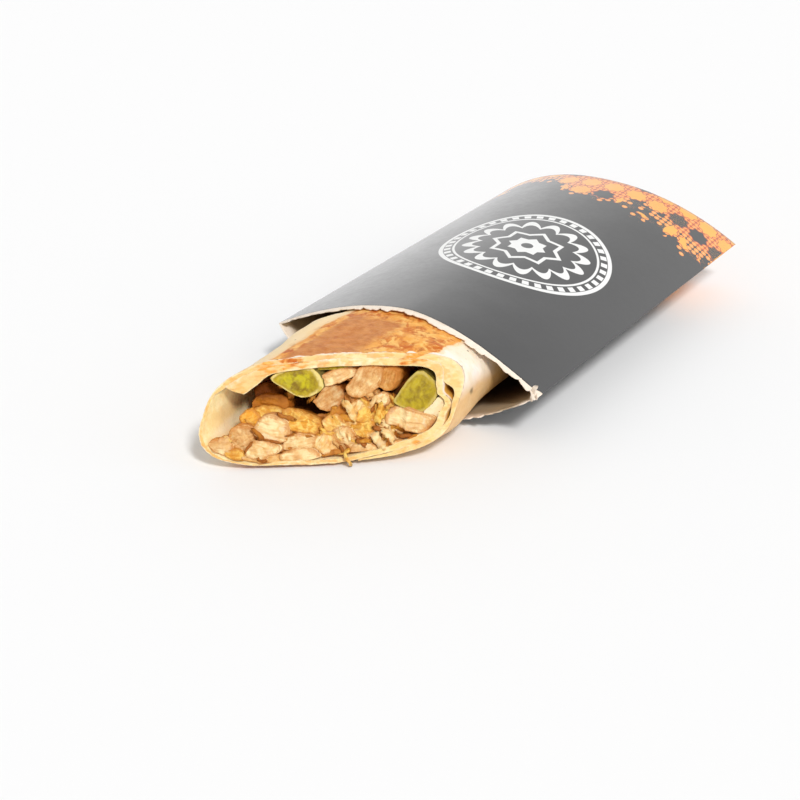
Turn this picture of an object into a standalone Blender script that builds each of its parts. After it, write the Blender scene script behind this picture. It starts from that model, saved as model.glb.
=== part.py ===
"""One half of a chicken shawarma wrap, cut on the slant, in a card sleeve torn open across its mouth.

The sleeve lies along +Y with its mouth towards -Y, on its flattened belly, with +Z up.
The wrap sticks out of the mouth. Its cut face looks towards -Y, +X and up.
Lengths are written in millimetres and multiplied by MM.
"""

import itertools
import math
import random

import bmesh
import bpy
from mathutils import Matrix, Vector
from mathutils.noise import noise

MM = 0.001
GAP = 0.35 * MM  # between pieces that touch

# Card sleeve: a lens-shaped tube with a crease down each side
SLEEVE_WIDTH = 100 * MM  # crease to crease
SLEEVE_LENGTH = 166 * MM  # mouth to the far tips of the creases
CARD = 0.6 * MM
MOUTH_RISE = 16.8 * MM  # top of the lens above the creases
MOUTH_CURVE = 1.75  # 1 is a tent, 2 a parabola
END_RISE = 18.5 * MM
END_CURVE = 2.2
BELLY_DEPTH = 17.4 * MM  # of the lens below the creases, before the floor flattens it
BELLY_CURVE = 2.3
FLOOR_DEPTH = 16.6 * MM  # creases above the floor
END_INSET = 11 * MM  # the closed end is drawn in between its two tips
FLAP = 0.8  # of the end's height, which the outer of its two flaps covers from the top
TEETH = 20  # of the torn perforation, across one side of the card
TOOTH_DEPTH = 1.3 * MM
LOWER_LIP = 5 * MM  # the card below is torn further out than the card above
SLEEVE_ROWS = 9

# Flatbread: a sheet rolled one and a half times round the filling and pressed flat
WRAP_HALF_WIDTH = 30.3 * MM
WRAP_TOP = 15.2 * MM  # of the section above its middle
WRAP_BOTTOM = 15.9 * MM
WRAP_MIDDLE = Vector((0.3 * MM, 0, 0.4 * MM))  # from the sleeve's axis, level with its creases
SQUARENESS = (3.3, 2.7, 3.0, 3.0)  # of the four corners outside the sleeve: 2 is an ellipse
SQUEEZED = (2.1, 2.1, 2.3, 2.3)  # of the same corners inside it
SQUEEZE_START = -13 * MM  # from the mouth, where the section starts to change
UNEVEN = 0.35 * MM
BREAD = 1.6 * MM
LAYER_GAP = 0.5 * MM
INNER_EDGE = 155.0  # degrees round from +X where the sheet starts, inside
OUTER_EDGE = -430.0  # and where it ends, outside, one and a half turns on
TUCK_RUN = 35.0  # degrees in which it dives under its own outer edge
ROUND_STEP = 5.0
SLITS = ((18.0, 10.0, 1.5 * MM), (-13.0, 8.0, 0.9 * MM))  # open gaps between layers: angle, spread, width
TAIL_START = 84 * MM  # beyond the mouth, where the hidden end starts to close
TAIL_LENGTH = 18 * MM

# Cut: a flat knife cut, turned from square across the wrap and leaning back
CUT_TURN = math.radians(41.0)
CUT_LEAN = math.radians(26.5)
CUT_FRONT = -45 * MM  # where the cut meets the middle of the wrap, from the mouth

# Filling: a heap of shreds that ends short of the cut, with larger pieces that reach it
RECESS = 7.0 * MM
HOLLOWS = (  # in the heap's front: along the cut, up the cut, half width, half height, depth, in mm
    (-31, 2, 9, 8, 13),
    (-8, 0, 8, 4.5, 8),
    (-19, 6, 6, 4, 6),
    (22, 8, 7, 4, 6),
    (10, -12, 16, 4, -3),
)
HEAP_BUMPS = 1.1 * MM
HEAP_SLACK = 0.7 * MM  # bare heap inside the bread, which its shreds bridge
SHREDS = 40
SHRED_SIZE = (1.6 * MM, 3.0 * MM)
SEED = 7

# Large pieces, each along and up the cut face from its middle, half its length and width there,
# its tilt in degrees, how far it ends behind the cut and how long it runs back, lengths in mm
CHICKEN = {
    "chicken_top": (12.2, 7.6, 8.0, 4.1, 14, 0.5, 15),
    "chicken_strip": (1.8, 8.8, 5.4, 1.5, 20, 2.0, 14),
    "chicken_hanging": (-1.8, 1.7, 4.7, 3.2, 5, 3.5, 14),
    "chicken_slab": (24.4, -5.4, 8.2, 2.8, -18, 0.3, 14),
    "chicken_left": (-20.2, -6.9, 5.4, 2.6, -6, 0.6, 14),
    "chicken_gold": (-9.3, -4.9, 6.8, 2.3, -28, 1.4, 14),
    "chicken_cube": (-3.1, -11.7, 3.4, 2.6, 60, 0.2, 12),
    "chicken_slice": (-29.6, -9.7, 4.5, 2.7, 12, 1.2, 20),
}
SCRAPS = (  # the same for smaller ones, which are one with the heap
    (-21.3, -12.4, 6.0, 1.7, -3, 0.4, 14),
    (-10.6, -11.2, 4.4, 1.5, -3, 0.9, 13),
    (-12.0, -14.4, 6.0, 1.2, -1, 0.3, 13),
    (4.6, -1.4, 3.5, 1.3, -65, 2.0, 11),
    (8.4, 0.4, 2.8, 1.4, 42, 3.0, 11),
    (10.6, -4.2, 3.4, 1.4, -50, 1.8, 11),
    (6.2, -6.9, 3.0, 1.5, 10, 2.4, 11),
    (13.6, 0.4, 3.2, 1.0, 48, 3.4, 11),
    (14.4, -4.2, 2.2, 1.3, 70, 2.2, 11),
    (13.5, -11.4, 3.4, 1.3, -58, 0.8, 12),
    (18.4, -11.4, 3.2, 1.2, -50, 1.0, 12),
    (22.6, -12.0, 2.4, 1.1, -28, 1.4, 12),
    (6.6, -11.0, 4.0, 1.5, 4, 3.0, 12),
    (9.0, -14.2, 6.0, 1.2, 2, 0.6, 13),
    (-1.0, -6.6, 2.2, 1.4, 30, 2.6, 11),
    (-15.6, -1.9, 2.8, 1.1, -20, 3.0, 12),
    (-26.2, -4.6, 2.6, 1.3, 40, 3.2, 16),
)
PIECE_CORNERS = 7
PIECE_SQUARENESS = 2.4
PIECE_BACK = 0.88  # width of a piece's back end over its front
ROOM = 0.5 * MM  # left round a piece in the heap

# Pickles, each by its own outline on the cut face, then as above
PICKLES = {
    "pickle_left": (
        (
            (-18.9, 9.2), (-16.5, 6.9), (-13.0, 4.8), (-9.4, 3.7), (-5.6, 4.2),
            (-3.8, 5.8), (-3.6, 7.6), (-5.2, 10.6), (-15.6, 11.2),
        ),
        0.8,
        12,
    ),
    "pickle_right": (
        ((20.1, 0.5), (23.4, -0.9), (27.0, -2.1), (30.3, -1.9), (33.2, 5.2), (30.2, 9.3), (27.9, 9.6)),
        0.6,
        13,
    ),
    "pickle_sliver": (((-3.6, 11.6), (1.0, 11.1), (6.0, 11.7), (5.6, 12.7), (-3.2, 12.7)), 2.6, 9),
}

CARD_BLACK = (0.016, 0.016, 0.017, 1)
BREAD_CREAM = (0.80, 0.64, 0.42, 1)
CHICKEN_TAN = (0.56, 0.34, 0.16, 1)
PICKLE_GREEN = (0.34, 0.33, 0.05, 1)


def mix(a, b, t):
    return a + (b - a) * t


def smooth(low, high, value):
    """0 below low, 1 above high, and a smooth step between."""
    t = min(max((value - low) / (high - low), 0.0), 1.0)
    return t * t * (3 - 2 * t)


def new_object(name, mesh_source, colour, roughness):
    """An object from a bmesh, facing out and shaded, with a plain material."""
    mesh = bpy.data.meshes.new(name)
    bmesh.ops.recalc_face_normals(mesh_source, faces=mesh_source.faces)
    mesh_source.to_mesh(mesh)
    mesh_source.free()
    mesh.shade_smooth()
    mesh.set_sharp_from_angle(angle=math.radians(40))
    material = bpy.data.materials.new(name)
    material.use_nodes = True
    shader = material.node_tree.nodes["Principled BSDF"]
    shader.inputs["Base Color"].default_value = colour
    shader.inputs["Roughness"].default_value = roughness
    shader.inputs["Metallic"].default_value = 0.0
    mesh.materials.append(material)
    made = bpy.data.objects.new(name, mesh)
    bpy.context.scene.collection.objects.link(made)
    return made


# Sleeve


def top_height(x, y):
    """Outer top of the sleeve above the creases."""
    t = y / SLEEVE_LENGTH
    curve = mix(MOUTH_CURVE, END_CURVE, t)
    return mix(MOUTH_RISE, END_RISE, t) * (1 - abs(2 * x / SLEEVE_WIDTH) ** curve)


def belly_height(x, y):
    """Outer underside of the sleeve, flattened where it lies on the floor."""
    return max(-FLOOR_DEPTH, -BELLY_DEPTH * (1 - abs(2 * x / SLEEVE_WIDTH) ** BELLY_CURVE))


def steepness(height, x, y):
    """How much longer a slanting step across the card is than its width."""
    step = 0.2 * MM
    slope = (height(x + step, y) - height(x - step, y)) / (2 * step)
    return math.hypot(1, slope)


def inner_half_width(y):
    """Half the width between the inner corners of the creases."""
    t = y / SLEEVE_LENGTH
    top_slope = mix(MOUTH_RISE, END_RISE, t) * mix(MOUTH_CURVE, END_CURVE, t)
    slopes = (2 * top_slope / SLEEVE_WIDTH, 2 * BELLY_DEPTH * BELLY_CURVE / SLEEVE_WIDTH)
    walls = sum(CARD * math.hypot(1, slope) for slope in slopes)
    return SLEEVE_WIDTH / 2 - walls / sum(slopes)


def end_line(x):
    """Curved fold of the closed end."""
    return SLEEVE_LENGTH - END_INSET * (1 - (2 * x / SLEEVE_WIDTH) ** 2)


def tear_lines(columns):
    """Distance of the torn edge from the mouth at each column, for the card above and below."""
    draw = random.Random(SEED)
    lines = []
    for lip in (0.0, LOWER_LIP):
        line = []
        for i in range(columns + 1):
            tooth = TOOTH_DEPTH * draw.uniform(0.4, 1.0) * (0.5 if i % 2 else -0.5)
            line.append(tooth - lip * math.sin(math.pi * (i / columns) ** 0.7))
        line[0] = line[-1] = 0.0
        lines.append(line)
    return lines


def flap_edge(shape, upper, lower):
    """Two lines of vertices across the closed end: the outer flap's free edge and the flap under it."""
    rows = []
    for level in (upper, lower):
        row = []
        for a, b in zip(upper, lower):
            if a is b:
                row.append(a)
            else:
                point = a.co.lerp(b.co, FLAP)
                point.y = level[len(row)].co.y
                row.append(shape.verts.new(point))
        rows.append(row)
    return rows


def make_sleeve():
    columns = 2 * TEETH
    above, below = tear_lines(columns)
    shape = bmesh.new()

    def skin(height, sign, tear, inside):
        """Grid of vertices over one side of the card, from the mouth to the closed end."""
        grid = []
        for i in range(columns + 1):
            across = 2 * i / columns - 1
            line = []
            for row in range(SLEEVE_ROWS + 1):
                x = across * SLEEVE_WIDTH / 2
                y = mix(tear[i], end_line(x), (row / SLEEVE_ROWS) ** 1.3)
                if inside:
                    x = across * inner_half_width(y)
                    y -= 2 * CARD * row / SLEEVE_ROWS
                elif sign < 0:
                    y -= CARD * (1 - across**2) * row / SLEEVE_ROWS
                z = height(x, y)
                if inside:
                    z -= sign * CARD * steepness(height, x, y)
                line.append((x, y, z))
            grid.append(line)
        return grid

    for inside in (False, True):
        top = skin(top_height, 1, above, inside)
        belly = skin(belly_height, -1, below, inside)
        top = [[shape.verts.new(point) for point in line] for line in top]
        belly = [
            top[i] if i in (0, columns) else [shape.verts.new(point) for point in line]
            for i, line in enumerate(belly)
        ]
        for grid in (top, belly):
            for left, right in zip(grid, grid[1:]):
                for row in range(SLEEVE_ROWS):
                    shape.faces.new((left[row], right[row], right[row + 1], left[row + 1]))
        ends = [[line[-1] for line in top]]
        if not inside:
            ends += flap_edge(shape, ends[0], [line[-1] for line in belly])
        ends.append([line[-1] for line in belly])
        for upper, lower in zip(ends, ends[1:]):
            for i in range(columns):
                wall = (upper[i], upper[i + 1], lower[i + 1], lower[i])
                shape.faces.new(tuple(dict.fromkeys(wall)))
        if inside:
            for outer, inner in ((outer_top, top), (outer_belly, belly)):
                for i in range(columns):
                    shape.faces.new((outer[i][0], outer[i + 1][0], inner[i + 1][0], inner[i][0]))
        outer_top, outer_belly = top, belly
    return new_object("sleeve", shape, CARD_BLACK, 0.3)


# Wrap


def cut_y(x, z):
    """Where the knife cut lies, for a place in the wrap's section."""
    across = (x - WRAP_MIDDLE.x) * math.tan(CUT_TURN)
    up = (z - WRAP_MIDDLE.z) * math.tan(CUT_LEAN) / math.cos(CUT_TURN)
    return CUT_FRONT + across + up


def section_point(angle, inset, y, scale=1.0):
    """Point of the wrap's section at an angle from +X, inset from its outer surface."""
    turned = math.radians(angle)
    c, s = math.cos(turned), math.sin(turned)
    quarter = int(angle % 360 // 90)
    powers = SQUARENESS[quarter], SQUEEZED[quarter]
    reaches = [(abs(c) ** power + abs(s) ** power) ** (-1 / power) for power in powers]
    inside = min(max(1 - y / SQUEEZE_START, 0.0), 1.0)
    reach = scale * mix(*reaches, inside)
    uneven = UNEVEN * (math.sin(3 * turned) + math.sin(2 * turned + 1)) / 2
    half_width = WRAP_HALF_WIDTH - inset + uneven
    half_height = (WRAP_TOP if s > 0 else WRAP_BOTTOM) - inset + uneven
    return (
        WRAP_MIDDLE.x + reach * half_width * c,
        WRAP_MIDDLE.z + reach * half_height * s,
    )


def layer_gap(angle):
    """Space between the two layers, which opens into slits at the right."""
    slits = (width * math.exp(-(((angle - middle) / spread) ** 2)) for middle, spread, width in SLITS)
    return LAYER_GAP + sum(slits)


def sheet_inset(turn):
    """Inset of the sheet's outer face along its roll, from the inner edge to the outer one."""
    under = OUTER_EDGE + 360
    return (BREAD + layer_gap(turn)) * smooth(under - TUCK_RUN, under, turn)


def sheet_thickness(turn):
    """The sheet thins towards its two edges."""
    return BREAD * mix(0.5, 1.0, min(smooth(0, 12, INNER_EDGE - turn), smooth(0, 12, turn - OUTER_EDGE)))


def heap_inset(angle):
    """Inset of the filling's surface, just inside the innermost layer of bread."""
    angle = (angle + 180) % 360 - 180
    layers = sheet_inset(angle) if angle <= INNER_EDGE else 0.0
    if angle > INNER_EDGE:
        layers = (BREAD + layer_gap(INNER_EDGE)) * (1 - smooth(3, 14, angle - INNER_EDGE))
    return layers + BREAD + GAP


def tail_rows():
    """Distances past the mouth, and scales of the section, of the hidden end as it closes."""
    rows = []
    for step in (0.35, 0.65, 0.88, 1.0):
        rows.append((TAIL_START + TAIL_LENGTH * step, math.sqrt(1 - 0.96 * step**2)))
    return rows


def wall_rows(start):
    """Distances past the mouth, and scales of the section, along a wall that starts on the cut."""
    straight = (start, SQUEEZE_START, 0.0, TAIL_START)
    return [(y, 1.0) for y in straight] + tail_rows()


def make_bread():
    count = round((INNER_EDGE - OUTER_EDGE) / ROUND_STEP)
    turns = [mix(INNER_EDGE, OUTER_EDGE, i / count) for i in range(count + 1)]
    ring = [(turn, sheet_inset(turn)) for turn in turns]
    ring += [(turn, sheet_inset(turn) + sheet_thickness(turn)) for turn in reversed(turns)]
    shape = bmesh.new()
    columns = []
    for turn, inset in ring:
        x, z = section_point(turn, inset, CUT_FRONT)
        column = []
        for y, scale in wall_rows(cut_y(x, z)):
            x, z = section_point(turn, inset, y, scale)
            column.append(shape.verts.new((x, y, z)))
        columns.append(column)
    for left, right in zip(columns, columns[1:] + columns[:1]):
        for row in range(len(left) - 1):
            shape.faces.new((left[row], right[row], right[row + 1], left[row + 1]))
    half = len(columns) // 2
    for row in (0, -1):
        for i in range(half - 1):
            j = len(columns) - 1 - i
            shape.faces.new((columns[i][row], columns[i + 1][row], columns[j - 1][row], columns[j][row]))
    return new_object("flatbread", shape, BREAD_CREAM, 0.75)


# Filling


def on_cut(along, up):
    """Place on the cut face, from its middle, as a point in the sleeve's frame."""
    x = WRAP_MIDDLE.x + along * math.cos(CUT_TURN) - up * math.sin(CUT_TURN) * math.sin(CUT_LEAN)
    z = WRAP_MIDDLE.z + up * math.cos(CUT_LEAN)
    return Vector((x, cut_y(x, z), z))


def place_on_cut(x, z):
    """How far along and up the cut face a line parallel to the axis meets it."""
    up = (z - WRAP_MIDDLE.z) / math.cos(CUT_LEAN)
    along = (x - WRAP_MIDDLE.x + up * math.sin(CUT_TURN) * math.sin(CUT_LEAN)) / math.cos(CUT_TURN)
    return along, up


def recess(x, z):
    """How far behind the cut the heap's own surface lies."""
    along, up = place_on_cut(x, z)
    depth = RECESS + HEAP_BUMPS * noise(Vector((along, up, 0)) / (3.5 * MM))
    for middle, height, half_width, half_height, amount in HOLLOWS:
        away = ((along / MM - middle) / half_width) ** 2 + ((up / MM - height) / half_height) ** 2
        depth += amount * MM * math.exp(-away)
    return depth


def piece_outline(name, along, up, half_length, half_width, tilt):
    """Corners of an uneven rounded block on the cut face, in mm."""
    draw = random.Random(name)
    turned = math.radians(tilt)
    corners = []
    for k in range(PIECE_CORNERS):
        angle = math.tau * (k + 0.5 + draw.uniform(-0.2, 0.2)) / PIECE_CORNERS
        c, s = math.cos(angle), math.sin(angle)
        reach = (abs(c) ** PIECE_SQUARENESS + abs(s) ** PIECE_SQUARENESS) ** (-1 / PIECE_SQUARENESS)
        reach *= draw.uniform(0.9, 1.06)
        x, y = reach * c * half_length, reach * s * half_width
        corners.append((
            along + x * math.cos(turned) - y * math.sin(turned),
            up + x * math.sin(turned) + y * math.cos(turned),
        ))
    return corners


def prism(outline, behind, length):
    """Cut piece: its outline on the cut face, run back along the wrap and narrowing a little."""
    shape = bmesh.new()
    middle = sum((on_cut(along * MM, up * MM) for along, up in outline), Vector()) / len(outline)
    rings = []
    for share, width in ((0.0, 0.94), (0.12, 1.0), (1.0, PIECE_BACK)):
        ring = []
        for along, up in outline:
            corner = on_cut(along * MM, up * MM)
            x = mix(middle.x, corner.x, width)
            z = mix(middle.z, corner.z, width)
            ring.append(shape.verts.new((x, cut_y(x, z) + (behind + length * share) * MM, z)))
        rings.append(ring)
    for near, far in zip(rings, rings[1:]):
        for i in range(len(outline)):
            j = (i + 1) % len(outline)
            shape.faces.new((near[i], near[j], far[j], far[i]))
    shape.faces.new(rings[0])
    shape.faces.new(rings[-1])
    bmesh.ops.triangulate(shape, faces=shape.faces)
    bmesh.ops.recalc_face_normals(shape, faces=shape.faces)
    return shape


def room_for(outline, behind, length):
    """Space that a piece takes out of the heap: grown a little, and open to the cut."""
    shape = prism(outline, behind - 12, length + 12)
    for vert in shape.verts:
        vert.normal_update()
    for vert, shift in [(vert, vert.normal * vert.calc_shell_factor() * ROOM) for vert in shape.verts]:
        vert.co += shift
    return shape


def shred(draw):
    """Loose scrap of meat: a lumpy eight-cornered block on the heap's front."""
    while True:
        along, up = draw.uniform(-33, 32), draw.uniform(-13, 9)
        if (along / 33) ** 2 + (up / 13) ** 2 < 1 and (up < 2 or draw.random() < 0.35):
            break
    middle = on_cut(along * MM, up * MM)
    middle.y += recess(middle.x, middle.z) - draw.uniform(0.0, 2.5) * MM
    reach = Vector((draw.uniform(*SHRED_SIZE), 2.4 * draw.uniform(*SHRED_SIZE), draw.uniform(*SHRED_SIZE)))
    turn = Matrix.Rotation(draw.uniform(0, math.pi), 3, "Y")
    shape = bmesh.new()
    for corner in itertools.product((-1, 1), repeat=3):
        away = Vector(side * size * draw.uniform(0.55, 1.0) for side, size in zip(corner, reach))
        shape.verts.new(middle + turn @ away)
    hull = bmesh.ops.convex_hull(shape, input=shape.verts)
    unused = hull["geom_interior"] + hull["geom_unused"]
    spare = [item for item in unused if isinstance(item, bmesh.types.BMVert)]
    bmesh.ops.delete(shape, geom=spare, context="VERTS")
    return shape


def filling_space(slack, front):
    """Solid of the filling's section, from a front given at each place to the closed end of the bread."""
    rings_in = (0.84, 0.68, 0.52, 0.36, 0.2)
    around = round(360 / ROUND_STEP)
    angles = [INNER_EDGE - 360 * i / around for i in range(around)]
    shape = bmesh.new()
    columns = []
    for angle in angles:
        inset = heap_inset(angle) + slack
        x, z = section_point(angle, inset, CUT_FRONT)
        column = []
        for y, scale in wall_rows(min(cut_y(x, z) + front(x, z), SQUEEZE_START - GAP))[:-1]:
            x, z = section_point(angle, inset, y, scale)
            column.append(shape.verts.new((x, y - GAP - slack if scale < 1 else y, z)))
        for share in rings_in:
            x, z = section_point(angle, inset, CUT_FRONT, share)
            column.insert(0, shape.verts.new((x, cut_y(x, z) + front(x, z), z)))
        columns.append(column)
    for left, right in zip(columns, columns[1:] + columns[:1]):
        for row in range(len(left) - 1):
            shape.faces.new((left[row], right[row], right[row + 1], left[row + 1]))
    for row in (0, -1):
        shape.faces.new([column[row] for column in columns])
    bmesh.ops.triangulate(shape, faces=shape.faces)
    return shape


def apply_boolean(target, operation, others):
    """Joins or cuts target with the others, by one Boolean on a collection, and removes them."""
    group = bpy.data.collections.new(operation)
    bpy.context.scene.collection.children.link(group)
    for other in others:
        bpy.context.scene.collection.objects.unlink(other)
        group.objects.link(other)
    modifier = target.modifiers.new(operation, "BOOLEAN")
    modifier.operation = operation
    modifier.operand_type = "COLLECTION"
    modifier.collection = group
    modifier.solver = "EXACT"
    bpy.context.view_layer.update()
    result = bpy.data.meshes.new_from_object(target.evaluated_get(bpy.context.evaluated_depsgraph_get()))
    target.modifiers.clear()
    target.data = result
    for other in list(group.objects):
        bpy.data.objects.remove(other)
    bpy.data.collections.remove(group)


def drop_scraps(target):
    """Keeps the largest connected body of a mesh."""
    shape = bmesh.new()
    shape.from_mesh(target.data)
    left = set(shape.verts)
    bodies = []
    while left:
        body, edge = set(), [left.pop()]
        while edge:
            vert = edge.pop()
            body.add(vert)
            for link in vert.link_edges:
                other = link.other_vert(vert)
                if other in left:
                    left.remove(other)
                    edge.append(other)
        bodies.append(body)
    bodies.sort(key=len)
    bmesh.ops.delete(shape, geom=[v for body in bodies[:-1] for v in body], context="VERTS")
    shape.to_mesh(target.data)
    shape.free()


def make_filling():
    """Heap, with its scraps and shreds joined and room for the pieces, and the pieces in it."""
    heap = new_object("chicken_filling", filling_space(HEAP_SLACK, recess), CHICKEN_TAN, 0.6)
    loose = [prism(piece_outline(f"scrap_{i}", *row[:5]), *row[5:]) for i, row in enumerate(SCRAPS)]
    draw = random.Random(SEED)
    loose += [shred(draw) for _ in range(SHREDS)]
    apply_boolean(heap, "UNION", [new_object("loose", shape, CHICKEN_TAN, 0.6) for shape in loose])
    pieces = {name: (piece_outline(name, *row[:5]), *row[5:]) for name, row in CHICKEN.items()}
    pieces.update(PICKLES)
    rooms = [new_object("room", room_for(*piece), CHICKEN_TAN, 0.6) for piece in pieces.values()]
    made = [heap]
    for name, piece in pieces.items():
        looks = (PICKLE_GREEN, 0.35) if name in PICKLES else (CHICKEN_TAN, 0.6)
        made.append(new_object(name, prism(*piece), *looks))
    for item in made:
        space = new_object("space", filling_space(0.0, lambda x, z: -15 * MM), CHICKEN_TAN, 0.6)
        apply_boolean(item, "INTERSECT", [space])
    apply_boolean(heap, "DIFFERENCE", rooms)
    drop_scraps(heap)


def stand_on_origin():
    """Moves everything so that the origin is under the middle of the whole, on the floor."""
    objects = list(bpy.context.scene.objects)
    points = [vert.co for item in objects for vert in item.data.vertices]
    low = Vector(min(p[i] for p in points) for i in range(3))
    high = Vector(max(p[i] for p in points) for i in range(3))
    shift = Vector((-(low.x + high.x) / 2, -(low.y + high.y) / 2, FLOOR_DEPTH))
    for item in objects:
        item.data.transform(Matrix.Translation(shift))


def main():
    for item in list(bpy.data.objects):
        bpy.data.objects.remove(item)
    make_sleeve()
    make_bread()
    make_filling()
    stand_on_origin()


main()
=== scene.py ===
"""Looks of one half of a chicken shawarma wrap in its torn card sleeve.

Shapes are worked out in millimetres in the sleeve's own frame: x across, y from the mouth to the
closed end, z up from the creases. place() turns them into the row's frame, in metres.
"""

import itertools
import math

import bmesh
import bpy
import numpy as np
from mathutils import Matrix, Vector


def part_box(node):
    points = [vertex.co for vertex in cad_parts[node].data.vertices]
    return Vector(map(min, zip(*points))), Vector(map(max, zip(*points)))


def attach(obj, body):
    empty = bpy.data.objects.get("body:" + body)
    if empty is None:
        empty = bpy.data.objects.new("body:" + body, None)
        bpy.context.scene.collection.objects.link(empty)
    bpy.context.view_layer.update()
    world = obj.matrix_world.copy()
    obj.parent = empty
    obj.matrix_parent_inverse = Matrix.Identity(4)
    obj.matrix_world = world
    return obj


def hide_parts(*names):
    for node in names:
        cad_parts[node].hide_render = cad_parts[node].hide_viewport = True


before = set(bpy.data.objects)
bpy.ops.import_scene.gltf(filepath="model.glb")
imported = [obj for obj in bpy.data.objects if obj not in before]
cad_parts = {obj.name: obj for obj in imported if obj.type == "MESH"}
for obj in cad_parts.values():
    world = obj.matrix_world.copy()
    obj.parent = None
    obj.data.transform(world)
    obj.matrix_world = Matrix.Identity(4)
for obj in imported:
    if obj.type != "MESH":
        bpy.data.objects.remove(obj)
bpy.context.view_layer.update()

MM = 0.001

# Sleeve, as the solids have it
HALF_WIDTH = 50.0
LENGTH = 166.0
CARD = 0.6
RISE = (16.8, 18.5)  # at the mouth and at the closed end
CURVE = (1.75, 2.2)
BELLY_DEPTH = 17.4
BELLY_CURVE = 2.3
FLOOR_DEPTH = 16.6
END_INSET = 11.0
FLAP = 0.8
LOWER_LIP = 5.0

# Bread, as the solids have it
WRAP_HALF_WIDTH = 30.3
WRAP_TOP = 15.2
WRAP_BOTTOM = 15.9
MIDDLE_X, MIDDLE_Z = 0.3, 0.4
SQUARENESS = np.array((3.3, 2.7, 3.0, 3.0))
SQUEEZED = np.array((2.1, 2.1, 2.3, 2.3))
SQUEEZE_START = -13.0
UNEVEN = 0.35
BREAD = 1.6
LAYER_GAP = 0.5
SWELL = 1.5  # of the upper left and lower right shoulders, just outside the sleeve
SWELL_Y = -14.0
INNER_EDGE = 155.0
OUTER_EDGE = -430.0
TUCK_RUN = 35.0
SLITS = (  # turn in degrees, spread, width
    (14.5, 10.5, 2.6),
    (-13.0, 8.0, 1.1),
)
TAIL_START = 84.0
TAIL_LENGTH = 18.0

# Cut, as the solids have it
CUT_TURN = math.radians(41.0)
CUT_LEAN = math.radians(26.5)
CUT_FRONT = -45.0

# Filling, as the solids have it
RECESS = 7.0
HOLLOWS = (  # middle, half width and half height on the cut, depth
    (-37, 1, 13, 12, 32),
    (-10, 0, 9, 5, 13),
    (-20, 6, 6, 4, 9),
    (22, 8, 6, 5, 11),
    (4, 8, 4, 4, 6),
    (-10, -15, 34, 7, -4),
)
PIECES = {  # distance behind the cut, length back, brownness, yellowness, grain, corners on the cut
    "chicken_top": (
        0.4, 15, 0.42, 0.1, 58,
        (4.1, 5.7), (5.4, 7.1), (6.8, 8.6), (7.9, 10.5), (9.5, 11.7), (12.2, 12.0), (14.7, 11.2),
        (15.6, 9.6), (15.2, 7.6), (14.2, 5.4), (12.2, 4.5), (10.5, 3.3), (8.8, 2.7), (6.9, 3.3),
        (5.3, 4.5),
    ),
    "chicken_strip": (
        1.6, 14, 0.3, 0.0, 22,
        (-4.2, 8.3), (-3.2, 9.6), (-0.3, 10.6), (3.3, 11.2), (5.6, 10.7), (6.9, 9.6), (5.8, 8.6),
        (3.2, 7.9), (0.6, 7.0), (-1.7, 6.1), (-3.0, 6.0),
    ),
    "chicken_hanging": (
        3.0, 14, 0.41, 0.0, 30,
        (-7.8, 0.9), (-6.5, 1.8), (-4.9, 3.7), (-3.5, 5.1), (-1.9, 5.4), (-0.3, 4.6), (1.4, 2.4),
        (1.0, 0.5), (-0.9, -1.3), (-2.4, -2.2), (-3.8, -1.8), (-5.4, -0.6),
    ),
    "chicken_slab": (
        0.2, 14, 0.04, 0.05, -20,
        (16.3, -4.9), (16.7, -3.0), (18.5, -2.1), (20.5, -1.3), (23.8, -1.8), (27.0, -3.3), (29.9, -3.9),
        (32.0, -5.2), (30.4, -7.2), (28.0, -9.3), (26.0, -9.6), (22.5, -8.1), (19.6, -6.8), (16.7, -6.5),
    ),
    "chicken_left": (
        0.5, 14, 0.05, 0.3, -15,
        (-24.0, -3.9), (-22.8, -3.1), (-20.7, -2.9), (-18.0, -3.3), (-15.6, -4.3), (-14.8, -6.1),
        (-15.2, -8.5), (-15.9, -10.1), (-17.4, -10.4), (-19.8, -10.0), (-22.7, -8.8), (-24.8, -7.5),
        (-25.6, -6.2), (-25.0, -5.1),
    ),
    "chicken_gold": (
        1.2, 14, 0.22, 0.85, -25,
        (-17.0, -1.8), (-15.3, -0.8), (-12.3, -1.8), (-9.3, -3.0), (-6.7, -4.4), (-5.2, -6.4),
        (-5.6, -8.2), (-7.2, -8.8), (-9.6, -8.9), (-12.3, -8.0), (-14.4, -7.0), (-15.6, -5.2),
        (-17.0, -3.6),
    ),
    "chicken_cube": (
        0.1, 12, 0.1, 0.45, 60,
        (-7.1, -11.2), (-6.0, -9.8), (-4.1, -8.9), (-1.4, -8.6), (-0.5, -10.2), (0.0, -12.3),
        (0.7, -13.7), (-1.0, -14.3), (-3.5, -14.4), (-4.9, -13.3), (-6.8, -12.6),
    ),
    "chicken_slice": (
        1.0, 20, 0.42, 0.0, 30,
        (-32.2, -6.4), (-30.7, -5.8), (-28.3, -5.9), (-26.5, -6.7), (-26.0, -8.8), (-26.4, -10.6),
        (-27.9, -12.0), (-30.1, -13.0), (-32.1, -12.1), (-33.2, -10.6), (-33.8, -8.5), (-33.1, -7.0),
    ),
}
BROWN_END = (  # of chicken_top, in the same order
    1.0, 13, 0.52, 0.6, 70,
    (14.5, 9.1), (16.0, 10.5), (18.6, 10.6), (20.2, 9.4), (20.0, 7.2), (18.7, 5.0), (17.7, 4.1),
    (15.8, 4.5), (14.2, 5.9),
)
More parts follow.
